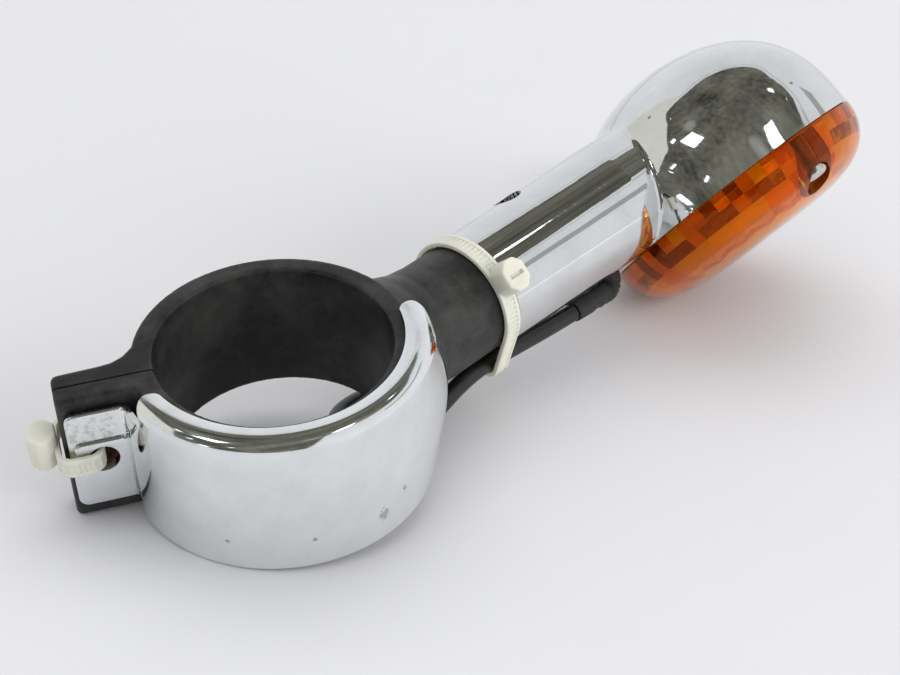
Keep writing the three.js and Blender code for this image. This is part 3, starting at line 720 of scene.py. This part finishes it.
def clamp_band():
    band = flared(turned("clamp_band_skin", band_section(), 220, (BAND_FROM, BAND_TO)))
    arm_room = shifted(moved(rod("arm_room", ARM_R + 3.2, 0, 60, 96), ALONG_X), 0, 0, ARM_Z)
    lip_end = wedge("lip_end", BAND_FROM - 10, BAND_FROM + 5, 60, 13.4, 30)
    cut(band, lip_end, arm_room, lip_corner(BAND_TO, 1), lip_corner(BAND_FROM + 5, -1))
    plate = bevelled(prism("plate", rounded(31.4, -11.8, 44.6, 13, 2.2), 0, 1.4), 0.45)
    pad = bevelled(prism("pad", rounded(32.6, -10.4, 43.6, 5.6, 1.5), -0.7, 0.5), 0.4)
    upright = [shifted(spun(part, 90, "X"), 0, 6.9, 0) for part in (plate, pad)]
    fold = prism("fold", [
        (35, 5.5), (35, 6.9), (33.6, 6.9), (32.9, 7.1), (32.4, 7.6), (32.2, 8.2), (32.07, 8.95),
        (30.95, 8.6), (31.05, 7.4), (31.3, 6.5), (31.9, 5.8), (32.7, 5.5),
    ], -11.4, 12.6)
    hole = shifted(spun(rod("bolt_hole", 3.3, -12, 14, 64), -90, "X"), HOLE_REACH, 0, HOLE_Z)
    ear = cut(join(upright[0], upright[1], bevelled(fold, 0.3)), hole)
    join(band, spun(ear, EAR_TURN))
    settle(band, CLAMP, BAND_CHROME, "chrome", "clamp_band", sharp=32)


def ear_bushings():
    for name, low, high in (("front_ear_bushing", 0.9, 5.1), ("rear_ear_bushing", -4.1, 0.1)):
        ring = bevelled(pipe(name + "_skin", 4.6, 3.2, low, high, 48), 0.15)
        settle(shifted(spun(ring, -90, "X"), HOLE_REACH, 0, HOLE_Z), EARS, RUST, "rusted_steel", name)


# ---------------- chrome housing
def bowl_outline(radius, depth, steps, powers):
    """From the rim to the middle; the powers say how square the curve is in radius and in depth."""
    points = []
    for i in range(steps + 1):
        a = pi / 2 * i / steps
        points.append((0 if i == steps else radius * cos(a) ** powers[0], depth * sin(a) ** powers[1]))
    return points


def stem_radius(x):
    if x < FOOT_START:
        return STEM_R + (STEM_FOOT_R - STEM_R) * max(x - STEM_START, 0) / (FOOT_START - STEM_START)
    return STEM_FOOT_R + 0.3 * min((x - FOOT_START) / 12, 1)


TO_FACE = LENS_IN_STEM.inverted()
FILLET = 0.9


def housing_skin(p):
    """Below zero inside the joined bowl and stem, above it outside, in mm."""
    q = TO_FACE @ p
    radius = (q.x * q.x + q.y * q.y) ** 0.5 / BOWL_R
    depth = max(-q.z, 0) / BOWL_DEPTH
    bowl = ((radius ** (2 / BOWL_ROUND[0]) + depth ** (2 / BOWL_ROUND[1])) ** 0.44 - 1) * BOWL_R
    stem = (p.y * p.y + p.z * p.z) ** 0.5 - stem_radius(p.x) + max(p.x - 125, 0)
    near = max(FILLET - abs(bowl - stem), 0) / FILLET
    return min(bowl, stem) - near * near * FILLET * 0.25


def slope(p):
    step = 0.02
    g = [housing_skin(p + Vector(d) * step) - housing_skin(p - Vector(d) * step)
         for d in ((1, 0, 0), (0, 1, 0), (0, 0, 1))]
    return Vector(g) / (2 * step)


def bowl_solid(name, radius, depth, steps, sides, front):
    line = [(0, front), (radius, front)] if front else []
    profile = line + [(r, -z) for r, z in bowl_outline(radius, depth, steps, BOWL_ROUND)]
    if not front:
        profile = [(0, 0)] + profile
    return moved(turned(name, profile, sides), LENS_IN_STEM)


def screw_places():
    turns = [radians(SCREW_TURN + half) for half in (0, 180)]
    return [(SCREW_REACH * cos(a), SCREW_REACH * sin(a)) for a in turns]


def lamp_housing():
    shell = bowl_solid("lamp_housing_skin", BOWL_R, BOWL_DEPTH, 40, 160, 4)
    stem = loft("stem", [(x, 0, stem_radius(x), stem_radius(x)) for x in range(54, 131, 4)])
    join(shell, stem)
    moulded(shell, 0.8, 0)
    for v in shell.data.vertices:
        if v.co.x < 57.5 or (TO_FACE @ v.co).z > 1:
            continue  # these ends are cut off
        for _ in range(3):
            value = housing_skin(v.co)
            g = slope(v.co)
            v.co -= g * (value / max(g.length_squared, 0.2))
    in_front = moved(rod("in_front", 70, 0, 40), LENS_IN_STEM)
    behind = moved(rod("behind", 30, 30, STEM_START, 64), ALONG_X)
    hollow = bowl_solid("hollow", BOWL_R - BOWL_WALL, BOWL_DEPTH - BOWL_WALL, 24, 128, 5)
    bore = moved(rod("bore", STEM_BORE_R, STEM_START + 3, 130, 96), ALONG_X)
    groove = moved(pipe("groove", GASKET_R[1] + 0.3, GASKET_R[0] - 0.3, -0.9, 3, 128), LENS_IN_STEM)
    stud_hole = moved(rod("stud_hole", 4.3, STEM_START - 2, STEM_START + 5, 48), ALONG_X)
    pin_hole = shifted(spun(rod("pin_hole", 4, 5, 25, 64), -38, "X"), 82, 0, 0)
    lead_hole = shifted(spun(rod("lead_hole", LEAD_R + 1.3, 8, 25, 64), -210, "X"), BOOT_X, 0, 0)
    cut(shell, in_front, behind, join(hollow, bore), groove, stud_hole, pin_hole, lead_hole)
    for x, y in screw_places():
        boss = moved(shifted(rod("boss", 4.4, -17, -0.4, 40), x, y, 0), LENS_IN_STEM)
        join(shell, common(boss, bowl_solid("boss_room", BOWL_R - 0.5, BOWL_DEPTH - 0.5, 24, 96, 0)))
        cut(shell, moved(shifted(rod("pilot", 2.1, -14, 5, 32), x, y, 0), LENS_IN_STEM))
    outside = {v.index: slope(v.co) for v in shell.data.vertices if abs(housing_skin(v.co)) < 0.03}
    settle(shell, STEM, CHROME, "chrome", "lamp_housing", sharp=30)
    turn = STEM.to_3x3().normalized()
    normals = {i: (turn @ g).normalized() for i, g in outside.items()}
    custom = []
    for face in shell.data.polygons:
        on_skin = all(i in normals and normals[i].dot(face.normal) > 0.85 for i in face.vertices)
        custom += [normals[i] if on_skin else Vector((0, 0, 0)) for i in face.vertices]
        if not on_skin and face.area > 0:
            depth = housing_skin(STEM.inverted() @ face.center)
            face.material_index = 1 if depth < -1.2 else 0
    shell.data.materials.append(REFLECTOR)
    shell.data.normals_split_custom_set(custom)


# ---------------- lens
PRISMS = 60
PRISM_ROWS = [0.0, 0.24, 0.48, 0.8]
SCALLOPS = 22


def prism_lean(row, angle_share, row_share, cell):
    """How far a prism's face leans in at a point of its cell, in mm."""
    across = ((0.22, -0.22), (-0.16, 0.2), (0.05, -0.04))[row][cell % 2]
    along = ((-0.15, 0.1), (0.12, -0.08), (0.03, -0.03))[row][(cell // 2) % 2]
    return 0.35 + across * (angle_share - 0.5) + along * (row_share - 0.5)


def scallop_edge(angle):
    return 26.6 + 1.7 * abs(sin(SCALLOPS / 2 * angle))


def lens_shell():
    outer = bowl_outline(BOWL_R, LENS_DEPTH, 48, LENS_ROUND)
    reach, deep = BOWL_R - LENS_WALL, LENS_DEPTH - LENS_WALL
    shares = (0.0, 0.02, 0.5, 0.98)
    verts, faces = [], []
    rings = PRISMS * len(shares)
    rows = []
    for k in range(len(PRISM_ROWS) - 1):
        low, high = PRISM_ROWS[k], PRISM_ROWS[k + 1]
        rows += [(k, t, low + (high - low) * t) for t in (0.0, 0.03, 0.35, 0.65, 0.97)]
    smooth = PRISM_ROWS[-1]
    rows += [(None, 0, smooth + (pi / 2 - smooth) * t / 30) for t in range(31)]
    for i in range(rings):
        cell, share = i // len(shares), shares[i % len(shares)]
        angle = 2 * pi * (cell + share) / PRISMS
        for r, z in outer[:-1]:
            verts.append((r * cos(angle), r * sin(angle), z))
        for k, t, a in rows[:-1]:
            r, z = reach * cos(a) ** LENS_ROUND[0], deep * sin(a) ** LENS_ROUND[1]
            if k is not None:
                shift = prism_lean(k, share, t, cell + k)
                r -= shift
                z -= shift * (0 if a < 0.3 else 0.4)
            else:
                edge = max(0, 1 - abs(r - scallop_edge(angle)) / 1.3)
                z -= 0.16 * edge
            verts.append((r * cos(angle), r * sin(angle), max(z, 0)))
    per = len(outer) - 1 + len(rows) - 1
    split = len(outer) - 1
    for i in range(rings):
        here, there = i * per, ((i + 1) % rings) * per
        for j in range(per - 1):
            if j == split - 1:
                continue
            faces.append((here + j, there + j, there + j + 1, here + j + 1))
        faces.append((here, there, there + split, here + split))
    tips = (len(verts), len(verts) + 1)
    verts += [(0, 0, LENS_DEPTH), (0, 0, deep - 0.2)]
    for i in range(rings):
        here, there = i * per, ((i + 1) % rings) * per
        faces.append((here + split - 1, there + split - 1, tips[0]))
        faces.append((here + per - 1, there + per - 1, tips[1]))
    return shifted(mesh_object("lens_skin", verts, faces), 0, 0, LENS_GAP)


def painted_light_tint(face):
    """Which tint a face of the lens has: painted light and shade in place of how light runs through the
    plastic. The prisms inside come in paler and darker rows, the screw wells are darker and deeper amber
    round them, and the lower side wall gets a copy with its reflection turned down.
    """
    x, y, z = face.center
    z = max(z - LENS_GAP, 0)
    r = hypot(x, y)
    aside = min(hypot(x - sx, y - sy) for sx, sy in screw_places())
    if aside < 4.3:
        return 2
    if (r / BOWL_R) ** (2 / LENS_ROUND[0]) + (z / LENS_DEPTH) ** (2 / LENS_ROUND[1]) > 0.9:
        return 4 if z < 10.5 else 0
    if r < 24:
        return 0
    if aside < 6.7:
        return 3
    low = asin(min((z / (LENS_DEPTH - LENS_WALL)) ** (1 / LENS_ROUND[1]), 1))
    cell = int((degrees(atan2(y, x)) % 360) / 360 * PRISMS)
    if low < PRISM_ROWS[1]:
        return (5, 2, 5, 2, 3, 5, 1)[cell % 7]
    if low < PRISM_ROWS[2]:
        return (2, 2, 5, 2, 2, 2, 5, 2)[cell % 8]
    edge = scallop_edge(atan2(y, x))
    if r > edge:
        return (1, 1, 5, 1)[cell // 3 % 4]
    return 3 if r > edge - 1.1 else 0


def lens():
    shell = lens_shell()
    for x, y in screw_places():
        outline = bowl_outline(BOWL_R - 0.02, LENS_DEPTH - 0.02, 40, LENS_ROUND)
        blank = shifted(turned("blank", [(0, 0)] + outline, 160), 0, 0, LENS_GAP)
        well = common(shifted(rod("well", 6, 0.6, 20, 48), x, y, 0), blank)
        join(shell, well)
        cut(shell, shifted(rod("head_room", 4.1, SCREW_SEAT, 30, 48), x, y, 0))
        cut(shell, shifted(rod("shank_room", 2.3, -2, 30, 32), x, y, 0))
    painted_tints = [painted_light_tint(face) for face in shell.data.polygons]
    settle(shell, LENS, AMBER, "amber_plastic", "lens", body="lens", sharp=28)
    # The lens's faces get the painted light and shade tints.
    for tint in (AMBER_PAINTED_LIGHT, AMBER_PAINTED_SHADE, AMBER_PAINTED_DEEP_SHADE, AMBER_SIDE, AMBER_PAINTED_HALF_SHADE):
        shell.data.materials.append(tint)
    shell.data.polygons.foreach_set("material_index", painted_tints)


def lens_screws():
    for i, (x, y) in enumerate(screw_places()):
        name = f"lens_screw_{i + 1}"
        s = SCREW_SEAT
        screw = turned(name + "_skin", [
            (0, -12), (1.2, -12), (1.8, -11.2), (1.8, s + 0.3), (3.6, s + 0.3), (3.6, s + 1.3),
            (3.45, s + 1.75), (3.1, s + 2.2), (2.5, s + 2.55), (1.6, s + 2.76), (0.7, s + 2.8),
            (0, s + 2.8),
        ], 64)
        slots = [spun(block("slot", -0.42, 0.42, -1.85, 1.85, s + 1.9, s + 4), turn) for turn in (0, 90)]
        cut(screw, *slots)
        settle(shifted(screw, x, y, 0), LENS, SCREW, "steel", name, body=name)


def lens_gasket():
    ring = bevelled(pipe("lens_gasket_skin", GASKET_R[1], GASKET_R[0], -0.6, 0, 128), 0.15)
    settle(ring, LENS, SEAL, "seal_rubber", "lens_gasket")


# ---------------- boot and ties
def lead_boot():
    route = ((0, 12.6), (0, 16.6), (1.6, 18.8), (5, 19.1), (15, 18.8))
    bend = [lead_at(BOOT_X - back, reach) for back, reach in route]

    def radius(share):
        rib = 0.22 if int(share * 26) % 2 and 0.3 < share < 0.85 else 0
        return LEAD_R + 0.8 - 0.45 * max(share - 0.6, 0) / 0.4 - rib

    settle(tube("lead_boot_skin", bend, radius, 32, 16), STEM, SEAL, "seal_rubber", "lead_boot")


def hull_of_circles(first, r1, second, r2, steps):
    points = []
    for i in range(steps):
        a = 2 * pi * i / steps
        d = (cos(a), sin(a))
        reach = [c[0] * d[0] + c[1] * d[1] + r for c, r in ((first, r1), (second, r2))]
        (x, y), r = (first, r1) if reach[0] > reach[1] else (second, r2)
        points.append((x + r * d[0], y + r * d[1]))
    return points


def even_steps(points, length):
    """The same closed outline in steps of nearly the given length."""
    spots = [Vector(p) for p in points] + [Vector(points[0])]
    total = sum((b - a).length for a, b in zip(spots, spots[1:]))
    count = int(total / length / 2) * 2
    out, gone, k = [], 0, 0
    for i in range(count):
        want = total * i / count
        while gone + (spots[k + 1] - spots[k]).length < want:
            gone += (spots[k + 1] - spots[k]).length
            k += 1
        piece_length = (spots[k + 1] - spots[k]).length
        out.append(spots[k].lerp(spots[k + 1], (want - gone) / piece_length if piece_length else 0))
    return out


def strap(name, inside, width, thick):
    """A closed flat strap on an outline, with a ladder of teeth along its outer face."""
    path = even_steps(inside, 0.55)
    count = len(path)
    columns = ((0, 0.12), (0.1, 0), (0.22, 0), (0.23, 1), (0.77, 1), (0.78, 0), (0.9, 0), (1, 0.12))
    verts, faces = [], []
    for i, p in enumerate(path):
        along = (path[(i + 1) % count] - path[i - 1]).normalized()
        out = Vector((along.y, -along.x))
        section = []
        for share, kind in columns:
            drop = 0.3 if kind == 1 and i % 2 else kind if kind != 1 else 0
            q = p + out * (thick - drop)
            section.append((q.x, q.y, width * (share - 0.5)))
        for share, drop in ((1, 0.12), (0.9, 0), (0.1, 0), (0, 0.12)):
            q = p + out * drop
            section.append((q.x, q.y, width * (share - 0.5)))
        verts += section
    rows = len(columns) + 4
    for i in range(count):
        here, there = i * rows, ((i + 1) % count) * rows
        for j in range(rows):
            k = (j + 1) % rows
            faces.append((here + j, there + j, there + k, here + k))
    return mesh_object(name, verts, faces)


def tie_head(x0, y0, x1, y1, low, high):
    """The head: a block with its corners cut off."""
    c = 2
    outline = [(x0 + c, y0), (x1 - c, y0), (x1, y0 + c), (x1, y1 - c), (x1 - c, y1), (x0 + c, y1),
               (x0, y1 - c), (x0, y0 + c)]
    return bevelled(prism("head", outline, low, high), 0.5)


def stem_tie():
    lead = lead_at(0, ARM_R + LEAD_R + 0.4)[1:]
    inside = hull_of_circles((0, 0), ARM_R + 0.35, lead, LEAD_R + 0.35, 720)
    loop = strap("stem_tie_skin", inside, STRAP_W, STRAP_T)
    across = Matrix(((0, 0, 1, 0), (1, 0, 0, 0), (0, 1, 0, 0), (0, 0, 0, 1)))
    shifted(moved(loop, across), ARM_END - 0.1 - STRAP_W / 2, 0, 0)
    head = tie_head(-3.4, -3.9, 3.4, 3.9, 0, 5.6)
    head = cut(head, block("slot", -2.1, 2.1, -0.6, 0.4, 4.9, 6.4))
    head = spun(head, -90, "X")
    head = spun(shifted(head, ARM_END - 1.4, ARM_R + 1.3, 0), 136, "X")
    join(loop, head)
    settle(loop, STEM, NYLON, "nylon", "stem_tie", sharp=35)


def ear_tie():
    x0, x1, y0, y1 = HOLE_REACH + STRAP_T / 2, EAR_END + 0.6, -4.7, 7.9
    inside = rounded(x0, y0, x1, y1, 2.2, 12)
    loop = shifted(strap("ear_tie_skin", inside, STRAP_W, STRAP_T), 0, 0, HOLE_Z)
    head = tie_head(x1 + 0.4, -2.4, x1 + 6.4, 5.2, HOLE_Z - 2.4, HOLE_Z + 5.4)
    join(loop, head)
    settle(loop, EARS, NYLON, "nylon", "ear_tie", sharp=35)


# ---------------- bulb and its holder
def bulb():
    base = moved(turned("bulb_base_skin", [
        (0, 111), (1.3, 111), (1.8, 111.15), (2.4, 111.8), (5.2, 112), (6.4, 112.4), (7.2, 113),
        (7.4, 113.6), (7.4, 126.6), (7.1, 127), (5.8, 127), (5.6, 126.6), (5.6, 121), (0, 121),
    ], 96), ALONG_X)
    pins = [shifted(spun(bevelled(rod("pin", 0.9, 6.6, 8.4, 24), 0.12), side - 90, "X"), 115.6, 0, 0)
            for side in (0, 180)]
    settle(join(base, *pins), STEM, BRASS, "brass", "bulb_base", body="bulb")

    outside = [(5.2, 122.2), (5.2, 127.6), (6.6, 128.2), (9.4, 132), (12, 138), (12.6, 144), (11.6, 151),
               (8.6, 156.6), (4.4, 159.6), (0, 160.6)]
    inside = [(4.5, 122.2), (4.5, 127.8), (5.9, 128.6), (8.7, 132.3), (11.2, 138), (11.8, 144),
              (10.9, 150.8), (8.1, 156), (4.1, 158.8), (0, 159.8)]
    lines = []
    for line in (outside, inside):
        lines.append([(max(p.x, 0), p.y) for p in smooth_path([Vector(p) for p in line], 5)])
    lines[0][-1], lines[1][-1] = (0, 160.6), (0, 159.8)
    glass = moved(turned("bulb_glass_skin", lines[1][::-1] + lines[0], 96), ALONG_X)
    settle(glass, STEM, GLASS, "glass", "bulb_glass", body="bulb")

    bead = moved(turned("filament_mount_skin", [
        (0, 121.4), (2.8, 121.4), (3, 121.6), (3, 124), (2.2, 128), (1.5, 133.4), (1.1, 134), (0, 134),
    ], 48), ALONG_X)
    wires = [tube("lead_in", [(132, side * 0.6, 0), (136, side * 2, 0), (141, side * 4, 0)], 0.35, 12)
             for side in (-1, 1)]
    settle(join(bead, *wires), STEM, GLASS, "glass", "filament_mount", body="bulb")
    coil = []
    for i in range(161):
        share = i / 160
        sway = 1.6 * (1 - (2 * share - 1) ** 2)
        a = 2 * pi * 16 * share
        coil.append((141.8 + sway + 0.26 * cos(a), -4 + 8 * share, 0.26 * sin(a)))
    settle(tube("filament_skin", coil, 0.11, 6, 1), STEM, TUNGSTEN, "tungsten", "filament", body="bulb")


def contact_spring():
    turns, per_turn = 4, 24
    points = []
    for i in range(turns * per_turn + 1):
        a = 2 * pi * i / per_turn
        points.append((99.9 + 5.2 * i / (turns * per_turn), 4.6 * cos(a), 4.6 * sin(a)))
    settle(tube("contact_spring_skin", points, 0.45, 12, 1), STEM, STEEL, "steel", "contact_spring")


def inner_wires():
    feed = [lead_at(101.4, 11.2, -124), lead_at(96.5, 8.5, -124), lead_at(95, 3.5, -124),
            (97.5, 0, 0), (103.9, 0, 0)]
    earth = [lead_at(102.4, 11.2, -112), lead_at(99.5, 11.2, -106), lead_at(96.4, 9.6, -100),
             lead_at(96.4, 7, -96)]
    for name, route in (("feed_wire", feed), ("earth_wire", earth)):
        settle(tube(name + "_skin", route, 0.8, 16), STEM, VINYL, "vinyl", name)


CAD_LOOKS = {
    "mount_stud": STEEL, "stud_washer": STEEL, "stud_lock_washer": STEEL, "stud_nut": STEEL,
    "socket_mount": SEAL, "socket_shell": STEEL, "contact_disc": PHENOLIC, "contact_rivet": BRASS,
}


def dress_cad_nodes():
    for name, look in CAD_LOOKS.items():
        mesh = frame["nodes"][name].data
        mesh.materials.clear()
        mesh.materials.append(look)


# ---------------- stage
def tone_emitter(name):
    """A material that gives off each point's own tone."""
    material = bpy.data.materials.new(name)
    material.use_nodes = True
    nodes, links = material.node_tree.nodes, material.node_tree.links
    nodes.remove(nodes["Principled BSDF"])
    glow = nodes.new("ShaderNodeEmission")
    source = nodes.new("ShaderNodeAttribute")
    source.attribute_name = "tone"
    links.new(source.outputs["Color"], glow.inputs["Color"])
    links.new(glow.outputs[0], nodes["Material Output"].inputs["Surface"])
    material.cycles.emission_sampling = "NONE"
    return material


PALE = (0.87, 0.88, 0.895)
CREAM = (0.78, 0.765, 0.71)
DARK = (0.145, 0.142, 0.116)
WINDOW = (2.9, 3.1, 3.3)
GREY = (0.42, 0.435, 0.42)


def toward(azimuth, elevation, reach=1):
    a, e = radians(azimuth), radians(elevation)
    return (reach * cos(e) * cos(a), reach * cos(e) * sin(a), reach * sin(e))


def in_patch(azimuth, elevation, centre, half, slant):
    x = (azimuth - centre[0] + 180) % 360 - 180 - slant * (elevation - centre[1])
    return abs(x) < half[0] and abs(elevation - centre[1]) < half[1]


def room_top(azimuth):
    """The elevation where the pale surroundings end and the dark room above begins."""
    marks = (
        (-180, -8), (-116, -8), (-106, 50), (-75, 54), (-60, 53), (-45, 49), (-25, 49.5), (-10, 54),
        (0, 56), (20, 53), (60, 53), (85, 52), (92, 51), (100, 48), (112, 42), (130, 42), (142, 38),
        (150, 34), (158, 30), (164, -8), (180, -8),
    )
    for (a, low), (b, high) in zip(marks, marks[1:]):
        if a <= azimuth <= b:
            return low + (high - low) * (azimuth - a) / (b - a)
    return -8


def room_tone(azimuth, elevation):
    """What the metal reflects in a direction: pale paper low down, a darker room above, and windows."""
    windows = (((175, 45), (9, 5), 0.4), ((-88, 58), (9, 3.5), 1.2), ((-22, 63), (2.6, 2), 0.4),
               ((156, 37), (2, 2), 0), ((-178, 3), (3, 1.5), 0.8), ((171, 20), (1, 2.2), 0.5),
               ((-163, 23), (0.8, 2.2), 0.5))
    for centre, half, slant in windows:
        if in_patch(azimuth, elevation, centre, half, slant):
            return WINDOW
    top = room_top(azimuth)
    if elevation > top:
        direction = Vector(toward(azimuth, elevation))
        broad = noise.noise(direction * 3.5)
        fine = noise.fractal(direction * 16, 0.7, 2, 4)
        haze = 0
        for centre in ((-115, 53), (158, 53)):
            aside = (azimuth - centre[0] + 180) % 360 - 180
            haze = max(haze, 1 - (aside / 10) ** 2 - ((elevation - centre[1]) / 6) ** 2)
        return tuple(c * max(1 + 0.7 * broad + 0.4 * fine, 0.3) + 0.2 * haze for c in DARK)
    if -75 < azimuth < 95 and top - 3.2 < elevation < top - 2.5:
        return GREY
    if -60 < azimuth < -10 and top - 21 < elevation < top - 14:
        return GREY
    if 92 < azimuth < 160:
        return CREAM
    shade = 1 - 0.12 * max(min((elevation - 20) / 40, 1), 0)
    return tuple(c * shade for c in PALE)


def room():
    """A shell round the scene that only shows in reflections."""
    columns, rows, reach = 480, 200, 4.0
    verts, tones, faces = [], [], []
    for j in range(rows + 1):
        elevation = -12 + 102 * j / rows
        for i in range(columns):
            azimuth = -180 + 360 * i / columns
            verts.append(toward(azimuth, elevation, reach))
            tones.append(room_tone(azimuth, elevation))
    for j in range(rows):
        for i in range(columns):
            k = (i + 1) % columns
            faces.append((j * columns + i, j * columns + k, (j + 1) * columns + k, (j + 1) * columns + i))
    mesh = bpy.data.meshes.new("room_shell")
    mesh.from_pydata(verts, [], faces)
    tone = mesh.color_attributes.new("tone", "FLOAT_COLOR", "POINT")
    for spot, colour in zip(tone.data, tones):
        spot.color = (*colour, 1)
    mesh.materials.append(tone_emitter("room_look"))
    shell = bpy.data.objects.new("room_shell", mesh)
    bpy.context.scene.collection.objects.link(shell)
    shell.visible_camera = False
    shell.visible_diffuse = False
    shell.visible_transmission = False
    shell.visible_shadow = False


def floor():
    look = Look("floor_look", Roughness=0.55, Specular_IOR_Level=0.3)
    colour = look.mix(look.noise(6, 3), (0.80, 0.80, 0.815), (0.77, 0.77, 0.785))
    look.bump(look.noise(500, 3), 0.04, 0.0003)
    obj = prism("floor", [(-6, -6), (6, -6), (6, 6), (-6, 6)], -0.02, -0.0001)
    obj.data.materials.append(look.done(colour))


def light(name, at, size, power):
    data = bpy.data.lights.new(name, "AREA")
    data.shape = "RECTANGLE"
    data.size, data.size_y = size
    data.energy = power
    obj = bpy.data.objects.new(name, data)
    aim = (Vector((0, 0, 0.02)) - Vector(at)).to_track_quat("-Z", "Y").to_matrix().to_4x4()
    obj.matrix_world = Matrix.Translation(at) @ aim
    obj.visible_glossy = False
    bpy.context.scene.collection.objects.link(obj)


def world():
    sky = bpy.data.worlds.new("room")
    sky.use_nodes = True
    back = sky.node_tree.nodes["Background"]
    back.inputs["Color"].default_value = (0.93, 0.935, 0.95, 1)
    back.inputs["Strength"].default_value = 0.66
    bpy.context.scene.world = sky


for build in (
    rubber_mount, clamp_band, ear_bushings, lamp_housing, lens, lens_screws, lens_gasket, lead_boot,
    stem_tie, ear_tie, bulb, contact_spring, inner_wires, dress_cad_nodes, floor, room, world,
):
    build()

light("key", (0.3, 0.7, 2.4), (2.6, 2.2), 18)
light("front", (0.8, -1.7, 0.8), (2.2, 1.2), 25)
light("fill", (-1.4, -0.5, 1.5), (1.2, 1.2), 4)
bpy.context.scene.view_settings.view_transform = "Standard"
